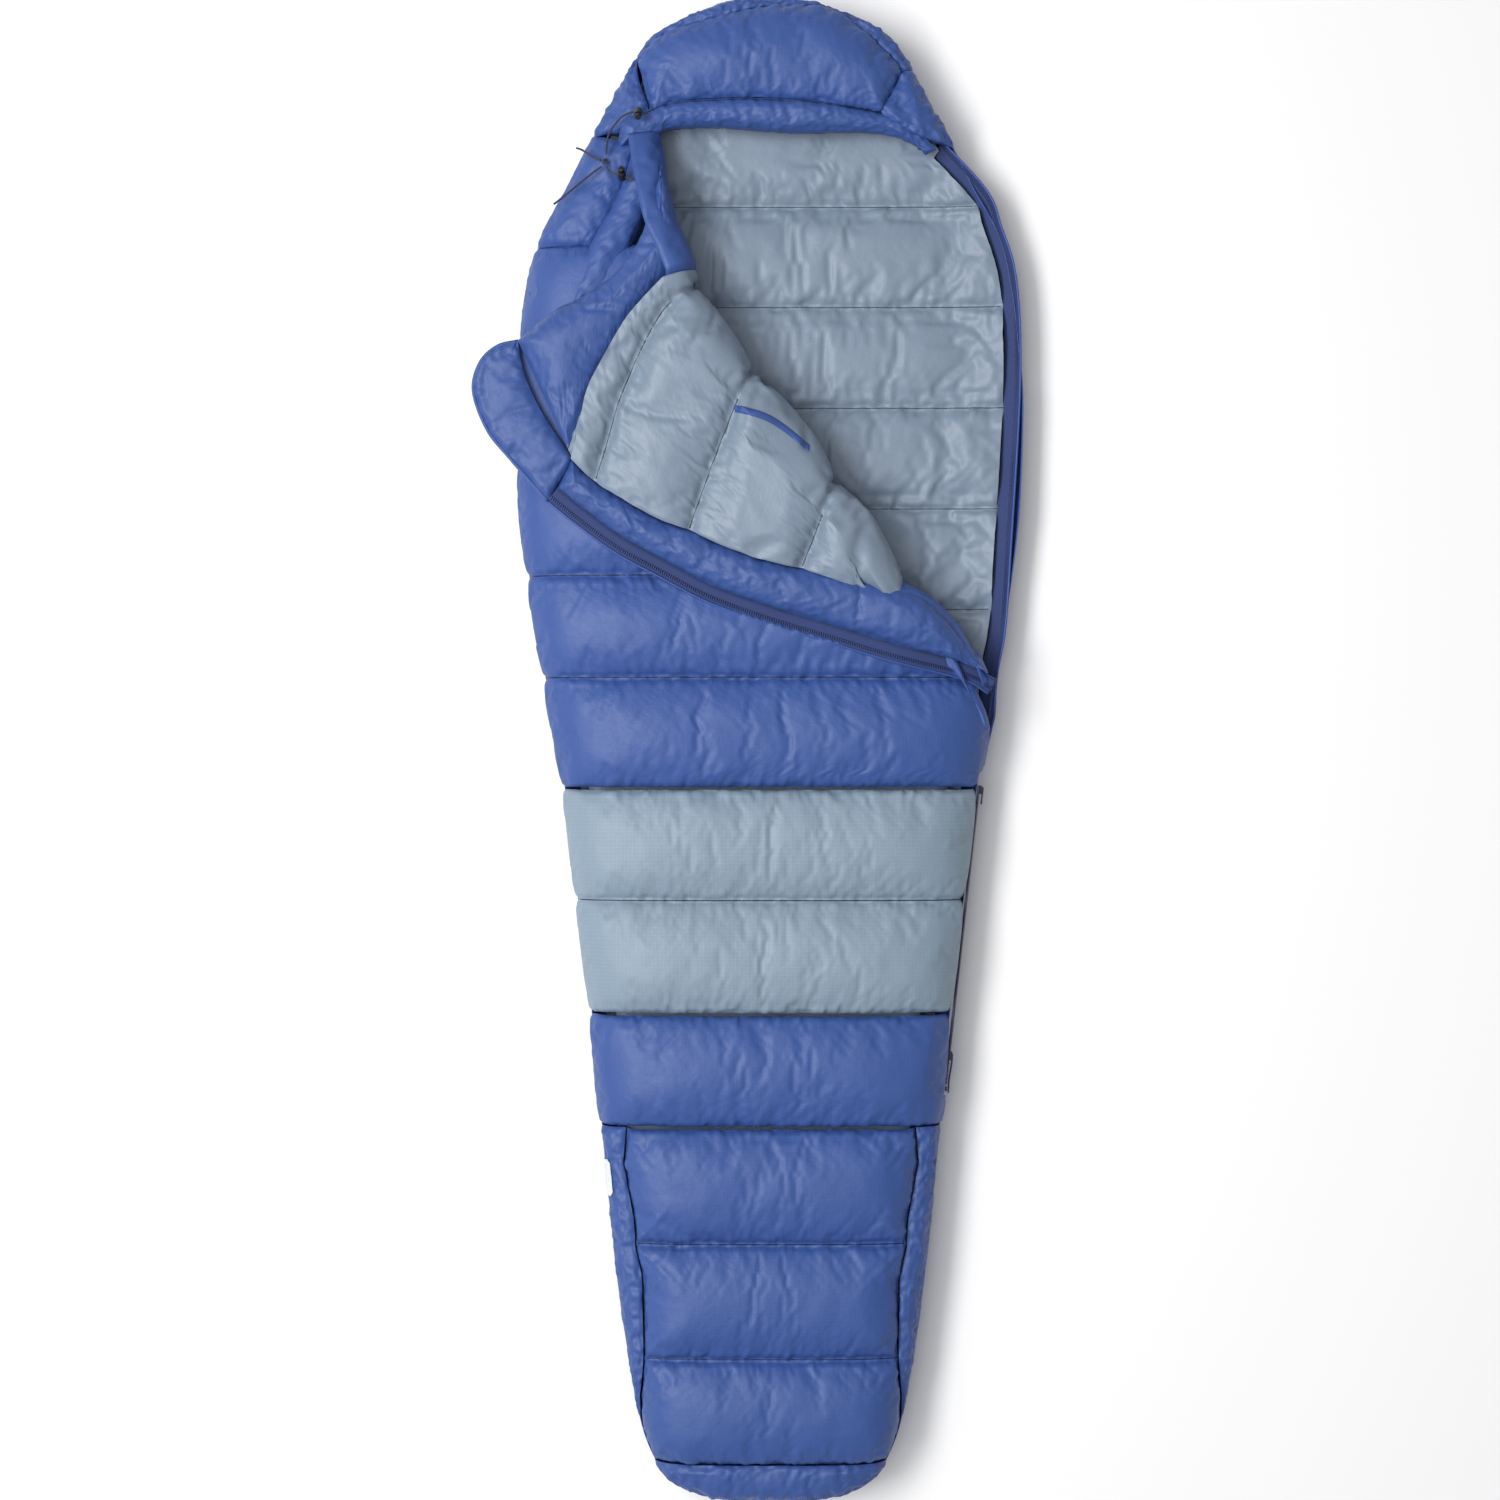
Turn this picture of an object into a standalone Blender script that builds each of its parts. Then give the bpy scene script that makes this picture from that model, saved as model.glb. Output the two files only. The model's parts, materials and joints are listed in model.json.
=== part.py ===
"""Mummy sleeping bag, unzipped from the hood and turned back like a lapel.

Metres. +Y runs to the head, +X to the zip side, +Z up, and z = 0 is the floor.
The origin is on the centre line, half way along, on the underside.
"""
import math

import bmesh
import bpy
from mathutils import Matrix, Vector

# ---- driving sizes --------------------------------------------------------------------
GAP = 0.0003            # clearance between neighbouring pieces
SKIN = 0.0008           # thickness of a shell or liner fabric with its facing
BACK_TOP = 0.038        # top of the back wadding
FRONT_BOTTOM = 0.069    # underside of the front wadding; the sleeper lies between
FOLD_Z = 0.118          # height at which the flap lies on the front panel
FLAP_LOFT = 0.042       # wadding height of the flap
LINER_LIFT = 0.0012     # the lining stands this far off the steep sides of the wadding
CORD = 0.003            # drawcord diameter
BARREL = 0.011          # cord lock diameter
HOLE_BELOW = 0.002      # the cord's hole sits this far below the middle of its lock
CORD_SLACK = 0.0008     # room round the cord in a lock
TAPE = 0.018            # width of a zip tape
CHAIN = 0.006           # width of the closed zip chain
WALL_FLOOR = BACK_TOP + 0.003     # underside of the side walls and the hood's sides
WALL_ROOF = FRONT_BOTTOM - 0.0012  # top of the side walls
WALL_DEPTH = 0.040      # how far a side wall reaches in from the outline
FLAP_BASE = FOLD_Z + SKIN + 0.0005  # underside of the flap's wadding
FRONT_SEAMS = [-0.9845, -0.838, -0.680, -0.520, -0.364, -0.207, -0.053, 0.100, 0.2405, 0.395, 0.697]

# Half width of the bag at a distance along it, from the toe to the crown.
OUTLINE = [(-1.040, 0.045), (-1.030, 0.100), (-1.004, 0.147), (-0.959, 0.173), (-0.897, 0.188),
           (-0.806, 0.203), (-0.695, 0.2175), (-0.528, 0.234), (-0.372, 0.248), (-0.208, 0.268),
           (-0.049, 0.287), (0.111, 0.315), (0.243, 0.336), (0.347, 0.347), (0.486, 0.351),
           (0.563, 0.345), (0.639, 0.336), (0.713, 0.319), (0.778, 0.284), (0.841, 0.252),
           (0.912, 0.212), (0.959, 0.186), (0.992, 0.158), (1.022, 0.097), (1.040, 0.040)]

# The fold's hinge: a straight line in plan, at FOLD_Z.
HINGE_FOOT = Vector((0.291, 0.062))
HINGE_DIR = Vector((-0.519, 0.855)).normalized()
HINGE_LEFT = Vector((-HINGE_DIR.y, HINGE_DIR.x))
HINGE_CLEAR = 0.003

# Curves of the turned-back flap, in plan, from the zip's foot to the neck.
FOLD = [(0.262, 0.118), (0.240, 0.163), (0.171, 0.243), (0.104, 0.334), (0.050, 0.409),
        (-0.031, 0.513), (-0.0945, 0.603), (-0.125, 0.681)]
QUILT_END = [(0.254, 0.122), (0.237, 0.158), (0.214, 0.190), (0.178, 0.210), (0.099, 0.238),
             (0.040, 0.250), (-0.036, 0.270), (-0.114, 0.302), (-0.164, 0.321), (-0.207, 0.3475),
             (-0.242, 0.368), (-0.271, 0.3975)]
ZIP_EDGE = [(0.262, 0.097), (0.240, 0.1025), (0.165, 0.122), (0.082, 0.147),
            (-0.001, 0.172), (-0.085, 0.202), (-0.156, 0.239), (-0.213, 0.270), (-0.268, 0.310),
            (-0.306, 0.3405)]
COLLAR_SEAM = [(-0.125, 0.670), (-0.164, 0.630), (-0.186, 0.599), (-0.220, 0.538),
               (-0.2405, 0.4935), (-0.254, 0.450), (-0.270, 0.403)]
NECK_EDGE = [(-0.147, 0.792), (-0.168, 0.723), (-0.204, 0.660), (-0.254, 0.621),
             (-0.297, 0.599), (-0.346, 0.559)]
CORNER = [(-0.346, 0.559), (-0.374, 0.552), (-0.3975, 0.530), (-0.407, 0.491),
          (-0.388, 0.438), (-0.357, 0.399), (-0.306, 0.3405)]
QUILT_LINES = [[(0.208, 0.201), (0.199, 0.2045)],
               [(0.085, 0.360), (0.067, 0.314), (0.042, 0.250)],
               [(-0.031, 0.513), (-0.053, 0.459), (-0.078, 0.395), (-0.112, 0.302)],
               [(-0.100, 0.625), (-0.1515, 0.591), (-0.200, 0.4935), (-0.240, 0.366)]]

# Hood seams, left to right.
CROWN_SEAM = [(-0.186, 0.958), (-0.133, 0.994), (-0.064, 1.013), (-0.004, 1.026),
              (0.075, 1.024), (0.118, 0.999), (0.165, 0.958), (0.181, 0.938)]
BRIM_SEAM = [(-0.178, 0.877), (-0.1265, 0.894), (0.022, 0.897), (0.154, 0.880), (0.192, 0.865)]
BRIM_EDGE = [(-0.205, 0.836), (-0.164, 0.848), (-0.074, 0.859), (0.032, 0.854),
             (0.139, 0.8535), (0.205, 0.842)]
BACK_TAPE = [(0.292, 0.000), (0.296, 0.097), (0.311, 0.264), (0.322, 0.400), (0.325, 0.510),
             (0.318, 0.649), (0.297, 0.723), (0.278, 0.766), (0.232, 0.826)]

# The closed zip runs straight down the right wall.
ZIP_TOP = Vector((0.2885, -0.049, 0.054))
ZIP_DIR = Vector((-0.112, -0.994, 0.0)).normalized()
ZIP_CLOSED = 0.420
MAIN_SLIDER_AT = 0.006
LOWER_SLIDER_AT = 0.378
SLIDER_LENGTH = 0.012
PULL_LENGTH = 0.024
PULL_WIDTH = 0.006
TAB_LENGTH = 0.056
TAB_WIDTH = 0.010

# The plain label at the left side seam.
LABEL_ENDS = (-0.616, -0.566)
LABEL_HEIGHTS = (0.052, 0.070)
LABEL_OFF = 0.0008
LABEL_THICK = 0.0012

# Drawcords, each a hand-chosen route from where it leaves the bag.
HOOD_CORD = [(-0.172, 0.8725, 0.1215), (-0.182, 0.8725, 0.1215), (-0.192, 0.8720, 0.1212),
             (-0.204, 0.867, 0.1190), (-0.215, 0.856, 0.1150), (-0.2225, 0.844, 0.1110),
             (-0.2255, 0.831, 0.1080), (-0.2265, 0.818, 0.1062)]
TAIL_CORD = [(-0.234, 0.810, 0.1050), (-0.243, 0.814, 0.1020), (-0.252, 0.820, 0.0985),
             (-0.261, 0.8265, 0.0930), (-0.268, 0.830, 0.0870)]
COLLAR_CORD = [(-0.226, 0.800, 0.1060), (-0.221, 0.792, 0.1130), (-0.213, 0.788, 0.1190),
               (-0.204, 0.785, 0.1215), (-0.195, 0.782, 0.1235), (-0.184, 0.779, 0.1240)]
LOOP_CORD = [(-0.233, 0.801, 0.1055), (-0.246, 0.792, 0.1050), (-0.260, 0.781, 0.1040),
             (-0.275, 0.769, 0.1020), (-0.289, 0.758, 0.0990), (-0.299, 0.751, 0.0960)]
KNOT_AT = Vector((-0.2285, 0.8085, 0.1060))

# Each lock: which point of its cord's route it grips, and which way its button points.
HOOD_LOCK_PLACE, HOOD_LOCK_AXIS = 1, (0.15, -0.6, 0.78)
COLLAR_LOCK_PLACE, COLLAR_LOCK_AXIS = 3, (0.1, 0.5, 0.86)

COLOURS = {
    "shell_blue": (0.105, 0.162, 0.385, 0.55), "shell_grey": (0.240, 0.300, 0.390, 0.55),
    "liner_grey": (0.260, 0.310, 0.370, 0.65), "lining_navy": (0.030, 0.045, 0.140, 0.6),
    "wadding": (0.780, 0.780, 0.760, 0.9),
    "black_plastic": (0.020, 0.020, 0.024, 0.4), "cord_dark": (0.045, 0.050, 0.075, 0.8),
    "label_white": (0.800, 0.800, 0.790, 0.7)}


# ---- small tools ----------------------------------------------------------------------
def material(name):
    """The Principled material of that name, made once."""
    found = bpy.data.materials.get(name)
    if found:
        return found
    red, green, blue, roughness = COLOURS[name.split("__")[0]]
    made = bpy.data.materials.new(name)
    made.use_nodes = True
    shader = made.node_tree.nodes["Principled BSDF"]
    shader.inputs["Base Color"].default_value = (red, green, blue, 1.0)
    shader.inputs["Roughness"].default_value = roughness
    made.diffuse_color = (red, green, blue, 1.0)
    return made


def add_mesh(name, verts, faces, colour):
    """One closed body with its faces turned outwards."""
    mesh = bpy.data.meshes.new(name)
    mesh.from_pydata([tuple(v) for v in verts], [], faces)
    shape = bmesh.new()
    shape.from_mesh(mesh)
    bmesh.ops.recalc_face_normals(shape, faces=shape.faces)
    shape.to_mesh(mesh)
    shape.free()
    piece = bpy.data.objects.new(name, mesh)
    bpy.context.scene.collection.objects.link(piece)
    mesh.materials.append(material(f"{colour}__{name}"))
    return piece


def curve_point(points, place):
    """A point on the smooth curve through the given points, place running 0 to 1."""
    points = [Vector(p) for p in points]
    last = len(points) - 1
    spot = min(max(place, 0.0), 1.0) * last
    i = min(int(spot), last - 1)
    t = spot - i
    p1, p2 = points[i], points[i + 1]
    p0 = points[i - 1] if i > 0 else p1 * 2 - p2
    p3 = points[i + 2] if i + 2 <= last else p2 * 2 - p1
    return 0.5 * ((2 * p1) + (p2 - p0) * t + (2 * p0 - 5 * p1 + 4 * p2 - p3) * t * t
                  + (3 * p1 - p0 - 3 * p2 + p3) * t ** 3)


def spread(points, count):
    """count points evenly spaced along the smooth curve through the given points."""
    fine = [curve_point(points, k / 200) for k in range(201)]
    run = [0.0]
    for a, b in zip(fine, fine[1:]):
        run.append(run[-1] + (b - a).length)
    out, k = [], 0
    for n in range(count):
        want = run[-1] * n / (count - 1)
        while k < 199 and run[k + 1] < want:
            k += 1
        step = run[k + 1] - run[k] or 1.0
        out.append(fine[k].lerp(fine[k + 1], min(max((want - run[k]) / step, 0.0), 1.0)))
    return out


def half_width(y):
    """Half the bag's width at a place along it."""
    ys = [p[0] for p in OUTLINE]
    if y <= ys[0]:
        return OUTLINE[0][1]
    for (y0, w0), (y1, w1) in zip(OUTLINE, OUTLINE[1:]):
        if y <= y1:
            return w0 + (w1 - w0) * (y - y0) / (y1 - y0)
    return OUTLINE[-1][1]


def pad(name, rows, bottom, top, colour):
    """A padded piece: rows of plan points, a flat or given underside, and a given top.

    top and bottom are heights or functions of (u across a row, v along the rows, point).
    """
    def height(rule, i, j):
        if not callable(rule):
            return rule
        return rule(j / (len(rows[0]) - 1), i / (len(rows) - 1), rows[i][j])
    across = len(rows[0])
    grid = [(i, j) for i in range(len(rows)) for j in range(across)]
    verts = [(*rows[i][j][:2], height(top, i, j)) for i, j in grid]
    verts += [(*rows[i][j][:2], height(bottom, i, j)) for i, j in grid]
    under = len(grid)
    faces = []
    for i in range(len(rows) - 1):
        for j in range(across - 1):
            a, b = i * across + j, (i + 1) * across + j
            faces.append((a, a + 1, b + 1, b))
            faces.append((under + a, under + b, under + b + 1, under + a + 1))
    edge = [j for j in range(across)]
    edge += [i * across + across - 1 for i in range(1, len(rows))]
    edge += [(len(rows) - 1) * across + j for j in range(across - 2, -1, -1)]
    edge += [i * across for i in range(len(rows) - 2, 0, -1)]
    for a, b in zip(edge, edge[1:] + edge[:1]):
        faces.append((a, under + a, under + b, b))
    return add_mesh(name, verts, faces, colour)


def between(start_curve, end_curve, count, across):
    """Rows of plan points, each row crossing from one curve to the other."""
    rows = []
    for a, b in zip(spread(start_curve, count), spread(end_curve, count)):
        rows.append([a.lerp(b, j / (across - 1)) for j in range(across)])
    return rows


def level_rows(low, high, left, right, count, across):
    """Rows across the bag from left(y) to right(y), with y from low to high."""
    rows = []
    for i in range(count):
        y = low + (high - low) * i / (count - 1)
        x0, x1 = left(y), right(y)
        rows.append([Vector((x0 + (x1 - x0) * j / (across - 1), y)) for j in range(across)])
    return rows


def lathe(name, profile, centre, axis, colour, sides=16):
    """A turned piece: (radius, distance along the axis) pairs from axis point to axis point."""
    turn = Vector(axis).to_track_quat("Z", "Y")
    verts, rings = [], []
    for radius, along in profile:
        if radius < 1e-6:
            rings.append([len(verts)])
            verts.append(Vector((0, 0, along)))
            continue
        rings.append(list(range(len(verts), len(verts) + sides)))
        verts += [Vector((radius * math.cos(2 * math.pi * k / sides),
                          radius * math.sin(2 * math.pi * k / sides), along))
                  for k in range(sides)]
    faces = []
    for a, b in zip(rings, rings[1:]):
        for k in range(sides):
            n = (k + 1) % sides
            if len(a) == 1:
                faces.append((a[0], b[k], b[n]))
            elif len(b) == 1:
                faces.append((a[k], b[0], a[n]))
            else:
                faces.append((a[k], b[k], b[n], a[n]))
    centre = Vector(centre)
    return add_mesh(name, [turn @ v + centre for v in verts], faces, colour)


def extrude_along(name, section, start, direction, length, colour):
    """A flat section of (outward, upward) points drawn along a straight line."""
    direction = Vector(direction).normalized()
    outward = Vector((-direction.y, direction.x, 0.0))
    if outward.x < 0:
        outward.negate()
    verts = []
    for along in (0.0, length):
        base = Vector(start) + direction * along
        verts += [base + outward * out + Vector((0, 0, up)) for out, up in section]
    n = len(section)
    faces = [tuple(range(n)), tuple(range(2 * n - 1, n - 1, -1))]
    faces += [(k, (k + 1) % n, n + (k + 1) % n, n + k) for k in range(n)]
    return add_mesh(name, verts, faces, colour)


def tube(name, route, diameter, colour, count=24):
    """A cord along a smooth curve through the route."""
    line = bpy.data.curves.new(name, "CURVE")
    line.dimensions = "3D"
    line.bevel_depth = diameter / 2
    line.bevel_resolution = 2
    line.use_fill_caps = True
    points = spread(route, count)
    run = line.splines.new("POLY")
    run.points.add(count - 1)
    for spot, place in zip(run.points, points):
        spot.co = (*place, 1.0)
    piece = bpy.data.objects.new(name, line)
    bpy.context.scene.collection.objects.link(piece)
    line.materials.append(material(f"{colour}__{name}"))
    return piece


def cut_through(piece, centre, axis, radius, depth):
    """Cut a round hole in a piece; the cutter stays as a hidden guide."""
    half = depth / 2
    cutter = lathe(f"cutter_{piece.name}_{int(radius * 1e5)}",
                   [(0, -half), (radius, -half), (radius, half), (0, half)], centre, axis,
                   "black_plastic")
    cutter.hide_render = True
    cutter.display_type = "WIRE"
    hole = piece.modifiers.new("hole", "BOOLEAN")
    hole.operation = "DIFFERENCE"
    hole.solver = "EXACT"
    hole.object = cutter


def hang_on(piece, parent):
    """Put a piece under an empty that stands on its joint's axis."""
    piece.parent = parent
    piece.matrix_parent_inverse = parent.matrix_world.inverted()


def empty_at(name, place):
    """An empty on a joint's axis."""
    mark = bpy.data.objects.new(name, None)
    mark.location = place
    bpy.context.scene.collection.objects.link(mark)
    mark.matrix_world = Matrix.Translation(place)
    return mark


# ---- shapes that the panels share -----------------------------------------------------
def wall_drop(x, y):
    """1 over the middle of the bag, falling to 0 at its side edge."""
    t = min(abs(x) / half_width(y), 1.0)
    return max(1.0 - t ** 7, 0.0) ** 0.5


def quilt_swell(v, low=0.62):
    """How full a chamber is between its two seams."""
    return low + (1 - low) * max(math.sin(math.pi * v), 0.0) ** 0.6


def front_top(crest):
    """The top of a front chamber whose crest is at that height."""
    edge = FRONT_BOTTOM + 0.003

    def rule(u, v, point):
        return edge + (crest - edge) * wall_drop(point[0], point[1]) * quilt_swell(v)
    return rule


def fold_x(y):
    """Right edge of the front panel: the side seam, or the fold where it is turned back."""
    hinge = HINGE_FOOT.x + (y - HINGE_FOOT.y) * HINGE_DIR.x / HINGE_DIR.y - 0.006
    best = hinge
    for a, b in zip(FOLD, FOLD[1:]):
        if a[1] <= y <= b[1]:
            best = min(best, a[0] + (b[0] - a[0]) * (y - a[1]) / (b[1] - a[1]))
    return min(best, half_width(y))


def gusset_x(y):
    """Half width of the front panel between the foot gussets."""
    return min(half_width(y) - 0.004, 0.197 - 0.018 * abs((y + 0.60) / 0.35) ** 1.5)


def place_on(curve, point):
    """Where along a list of evenly spaced points the nearest one to a point is."""
    return min(range(len(curve)), key=lambda k: (curve[k] - Vector(point)).length)


def flap_chamber_rows(low, high, count, across):
    """Rows between two quilt lines, ending on the fold and on the draft tube's edge."""
    fold, end = spread(FOLD, 161), spread(QUILT_END, 161)
    fold_span = place_on(fold, low[0]), place_on(fold, high[0])
    end_span = place_on(end, low[-1]), place_on(end, high[-1])
    low_points, high_points = spread(low, across), spread(high, across)
    rows = []
    for i in range(count):
        t = 0.006 + 0.988 * i / (count - 1)
        row = [a.lerp(b, t) for a, b in zip(low_points, high_points)]
        at_fold = fold[round(fold_span[0] + (fold_span[1] - fold_span[0]) * t)] - row[0]
        at_end = end[round(end_span[0] + (end_span[1] - end_span[0]) * t)] - row[-1]
        rows.append([p + at_fold.lerp(at_end, j / (across - 1)) for j, p in enumerate(row)])
    return rows


def keep_left(rows):
    """Hold the flap's points on their own side of the fold's hinge."""
    out = []
    for row in rows:
        kept = []
        for p in row:
            short = HINGE_CLEAR - (p - HINGE_FOOT).dot(HINGE_LEFT)
            kept.append(p + HINGE_LEFT * short if short > 0 else p)
        out.append(kept)
    return out


# ---- back of the bag ------------------------------------------------------------------
def build_back():
    """The back: outer shell, wadding and lining, flat on the floor."""
    def inset(amount):
        rows = []
        for i in range(25):
            y = -1.034 + 2.068 * i / 24
            half = max(half_width(y) - amount, 0.02)
            rows.append([Vector((half * (2 * j / 6 - 1), y)) for j in range(7)])
        return rows
    pad("back_shell", inset(0.010), 0.0, SKIN, "shell_blue")

    def back_top(u, v, point):
        return BACK_TOP - 0.012 * (1 - wall_drop(point[0], point[1]))
    pad("back_wadding", inset(0.004), SKIN + GAP, back_top, "wadding")
    pad("back_liner", inset(0.006), lambda u, v, p: back_top(u, v, p) + GAP + 0.0003,
        lambda u, v, p: back_top(u, v, p) + GAP + 0.0003 + SKIN, "liner_grey")


# ---- side walls and foot --------------------------------------------------------------
def build_side_walls():
    """The side walls, the foot gussets and the end of the footbox."""
    pieces = [("left_side_wall", -1, -0.522, 0.864), ("right_side_wall", 1, -0.522, -0.060)]
    for name, side, low, high in pieces:
        outer = (lambda y: side * (half_width(y) - 0.002))
        inner = (lambda y: side * (half_width(y) - WALL_DEPTH))
        left, right = (outer, inner) if side < 0 else (inner, outer)
        pad(name, level_rows(low, high, left, right, 16, 4), WALL_FLOOR, WALL_ROOF, "shell_blue")
    for name, side in (("left_foot_gusset", -1), ("right_foot_gusset", 1)):
        outer = (lambda y: side * half_width(y))
        inner = (lambda y: side * (gusset_x(y) + 0.0025))
        left, right = (outer, inner) if side < 0 else (inner, outer)

        def top(u, v, point, side=side):
            reach = (abs(point[0]) - gusset_x(point[1])) / 0.05
            return 0.098 - 0.030 * min(max(reach, 0.0), 1.0) ** 2
        pad(name, level_rows(-0.985, -0.5235, left, right, 15, 4), WALL_FLOOR, top, "shell_blue")
    toe = []
    for i in range(5):
        y = -1.040 + 0.054 * i / 4
        toe.append([Vector((half_width(y) * (2 * j / 8 - 1), y)) for j in range(9)])
    pad("footbox_end", toe, WALL_FLOOR,
        lambda u, v, p: WALL_FLOOR + 0.006 + 0.054 * math.sin(v * math.pi / 2) * wall_drop(*p[:2]),
        "shell_blue")


# ---- front of the bag -----------------------------------------------------------------
def build_front():
    """The quilted front: ten chambers under three shell panels, over one lining."""
    skin_rows = {"front_shell_foot": [], "front_shell_grey": [], "front_shell_chest": []}
    skin_tops = {name: [] for name in skin_rows}
    crest = FOLD_Z - 0.0025
    for number, (low, high) in enumerate(zip(FRONT_SEAMS, FRONT_SEAMS[1:]), start=1):
        if high < -0.50:
            half = gusset_x
            rows = level_rows(low + GAP, high - GAP, lambda y: -half(y), half, 5, 11)
        else:
            rows = level_rows(low + GAP, high - GAP, lambda y: -half_width(y), fold_x, 5, 11)
        drop = 0.020 if number == 1 else 0.0
        top = front_top(crest - drop)
        pad(f"front_wadding_{number:02d}", rows, FRONT_BOTTOM, top, "wadding")
        name = ("front_shell_grey" if -0.37 < low < -0.06 and high < -0.04 else
                "front_shell_foot" if high < -0.3 else "front_shell_chest")
        for i, row in enumerate(rows):
            skin_rows[name].append(row)
            skin_tops[name].append([top(j / 10, i / 4, p) for j, p in enumerate(row)])
    for name, rows in skin_rows.items():
        heights = skin_tops[name]
        last = len(rows) - 1

        def lie(extra, heights=heights, last=last):
            return lambda u, v, p: heights[round(v * last)][round(u * 10)] + extra
        colour = "shell_grey" if name.endswith("grey") else "shell_blue"
        pad(name, rows, lie(0.0005), lie(0.0005 + SKIN), colour)

    def liner_half(y):
        return min(half_width(y) - 0.012, gusset_x(y) - 0.006 if y < -0.45 else 1.0)
    liner = level_rows(-0.980, 0.690, lambda y: -liner_half(y),
                       lambda y: min(fold_x(y) - 0.004, liner_half(y)), 24, 6)
    pad("front_liner", liner, FRONT_BOTTOM - 0.0004 - SKIN + 0.0002, FRONT_BOTTOM - 0.0003,
        "liner_grey")


def build_shoulder():
    """The left neck of the front panel, which stays down when the flap is turned back."""
    slit = [(-0.150, 0.700), (-0.176, 0.745), (-0.172, 0.790), (-0.205, 0.826)]
    side = [(-half_width(y) + 0.001, y) for y in (0.700, 0.745, 0.790, 0.826)]
    rows = between(side, slit, 6, 7)
    floor = FRONT_BOTTOM

    def top(u, v, point):
        rise = math.sin(math.pi * min(0.12 + u * 0.76, 1.0)) ** 0.6
        return floor + 0.004 + 0.025 * rise
    pad("left_shoulder_panel", rows, floor, top, "shell_blue")


# ---- hood -----------------------------------------------------------------------------
def build_hood():
    """The hood: crown, edge strip, side panels, brim roll and lining."""
    roof = FRONT_BOTTOM
    crown = []
    low_curve = [(x, y + 0.0006) for x, y in BRIM_SEAM]
    for i in range(6):
        row = []
        for a, b in zip(spread(low_curve, 13), spread(CROWN_SEAM, 13)):
            row.append(a.lerp(b, i / 5 * 0.985))
        crown.append(row)

    def crown_top(u, v, point):
        return roof + 0.010 + 0.030 * math.sin(math.pi * (0.14 + 0.72 * u)) ** 0.6 * (
            0.75 + 0.25 * math.sin(math.pi * v)) - 0.008 * v
    pad("hood_crown", crown, roof, crown_top, "shell_blue")
    pad("hood_liner", [[p.lerp(Vector((0, 0.93)), 0.03) for p in row] for row in crown],
        roof - 0.0004 - SKIN, roof - 0.0004, "liner_grey")
    rim_outer, rim_inner = [], []
    for k in range(11):
        angle = math.pi * (0.985 - 0.97 * k / 10)
        inner = curve_point(CROWN_SEAM, k / 10)
        y = min(inner.y + 0.030 * max(math.sin(angle), 0.25), 1.038)
        rim_outer.append(Vector((math.copysign(min(half_width(y), abs(inner.x) + 0.030), inner.x)
                                 if abs(inner.x) > 0.10 else inner.x, y)))
        rim_inner.append(inner)
    centre = Vector((0.0, 0.93))
    rim = [[a.lerp(b, 0.97 * j / 3) for j in range(4)] for a, b in zip(rim_outer, rim_inner)]
    rim = [[p + (p - centre).normalized() * 0.002 for p in row] for row in rim]
    pad("hood_edge_strip", rim, WALL_FLOOR, lambda u, v, p: 0.066 + 0.014 * math.sin(u * math.pi / 2),
        "shell_blue")
    left_in = [(-0.1815, 0.879), (-0.1885, 0.915), (-0.1905, 0.954)]
    left_out = [(-0.2285, 0.880), (-0.208, 0.917), (-0.194, 0.943)]
    pad("hood_left_panel", between(left_out, left_in, 5, 4), WALL_FLOOR,
        lambda u, v, p: 0.068 + 0.020 * math.sin(u * math.pi / 2), "shell_blue")
    right_in = [(0.1965, 0.868), (0.1895, 0.905), (0.1865, 0.935)]
    right_out = [(0.233, 0.870), (0.212, 0.908), (0.199, 0.932)]
    pad("hood_right_panel", between(right_in, right_out, 5, 4), WALL_FLOOR,
        lambda u, v, p: 0.068 + 0.016 * math.cos(u * math.pi / 2), "shell_blue")
    brim = between(BRIM_EDGE, [(x, y - 0.0006) for x, y in BRIM_SEAM], 13, 6)
    pad("hood_brim_roll", brim, roof,
        lambda u, v, p: roof + 0.006 + 0.034 * math.sin(math.pi * (0.08 + 0.84 * u)) ** 0.7 * (
            1 - 0.45 * max((p[0] - 0.04) / 0.16, 0.0)), "shell_blue")


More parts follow.
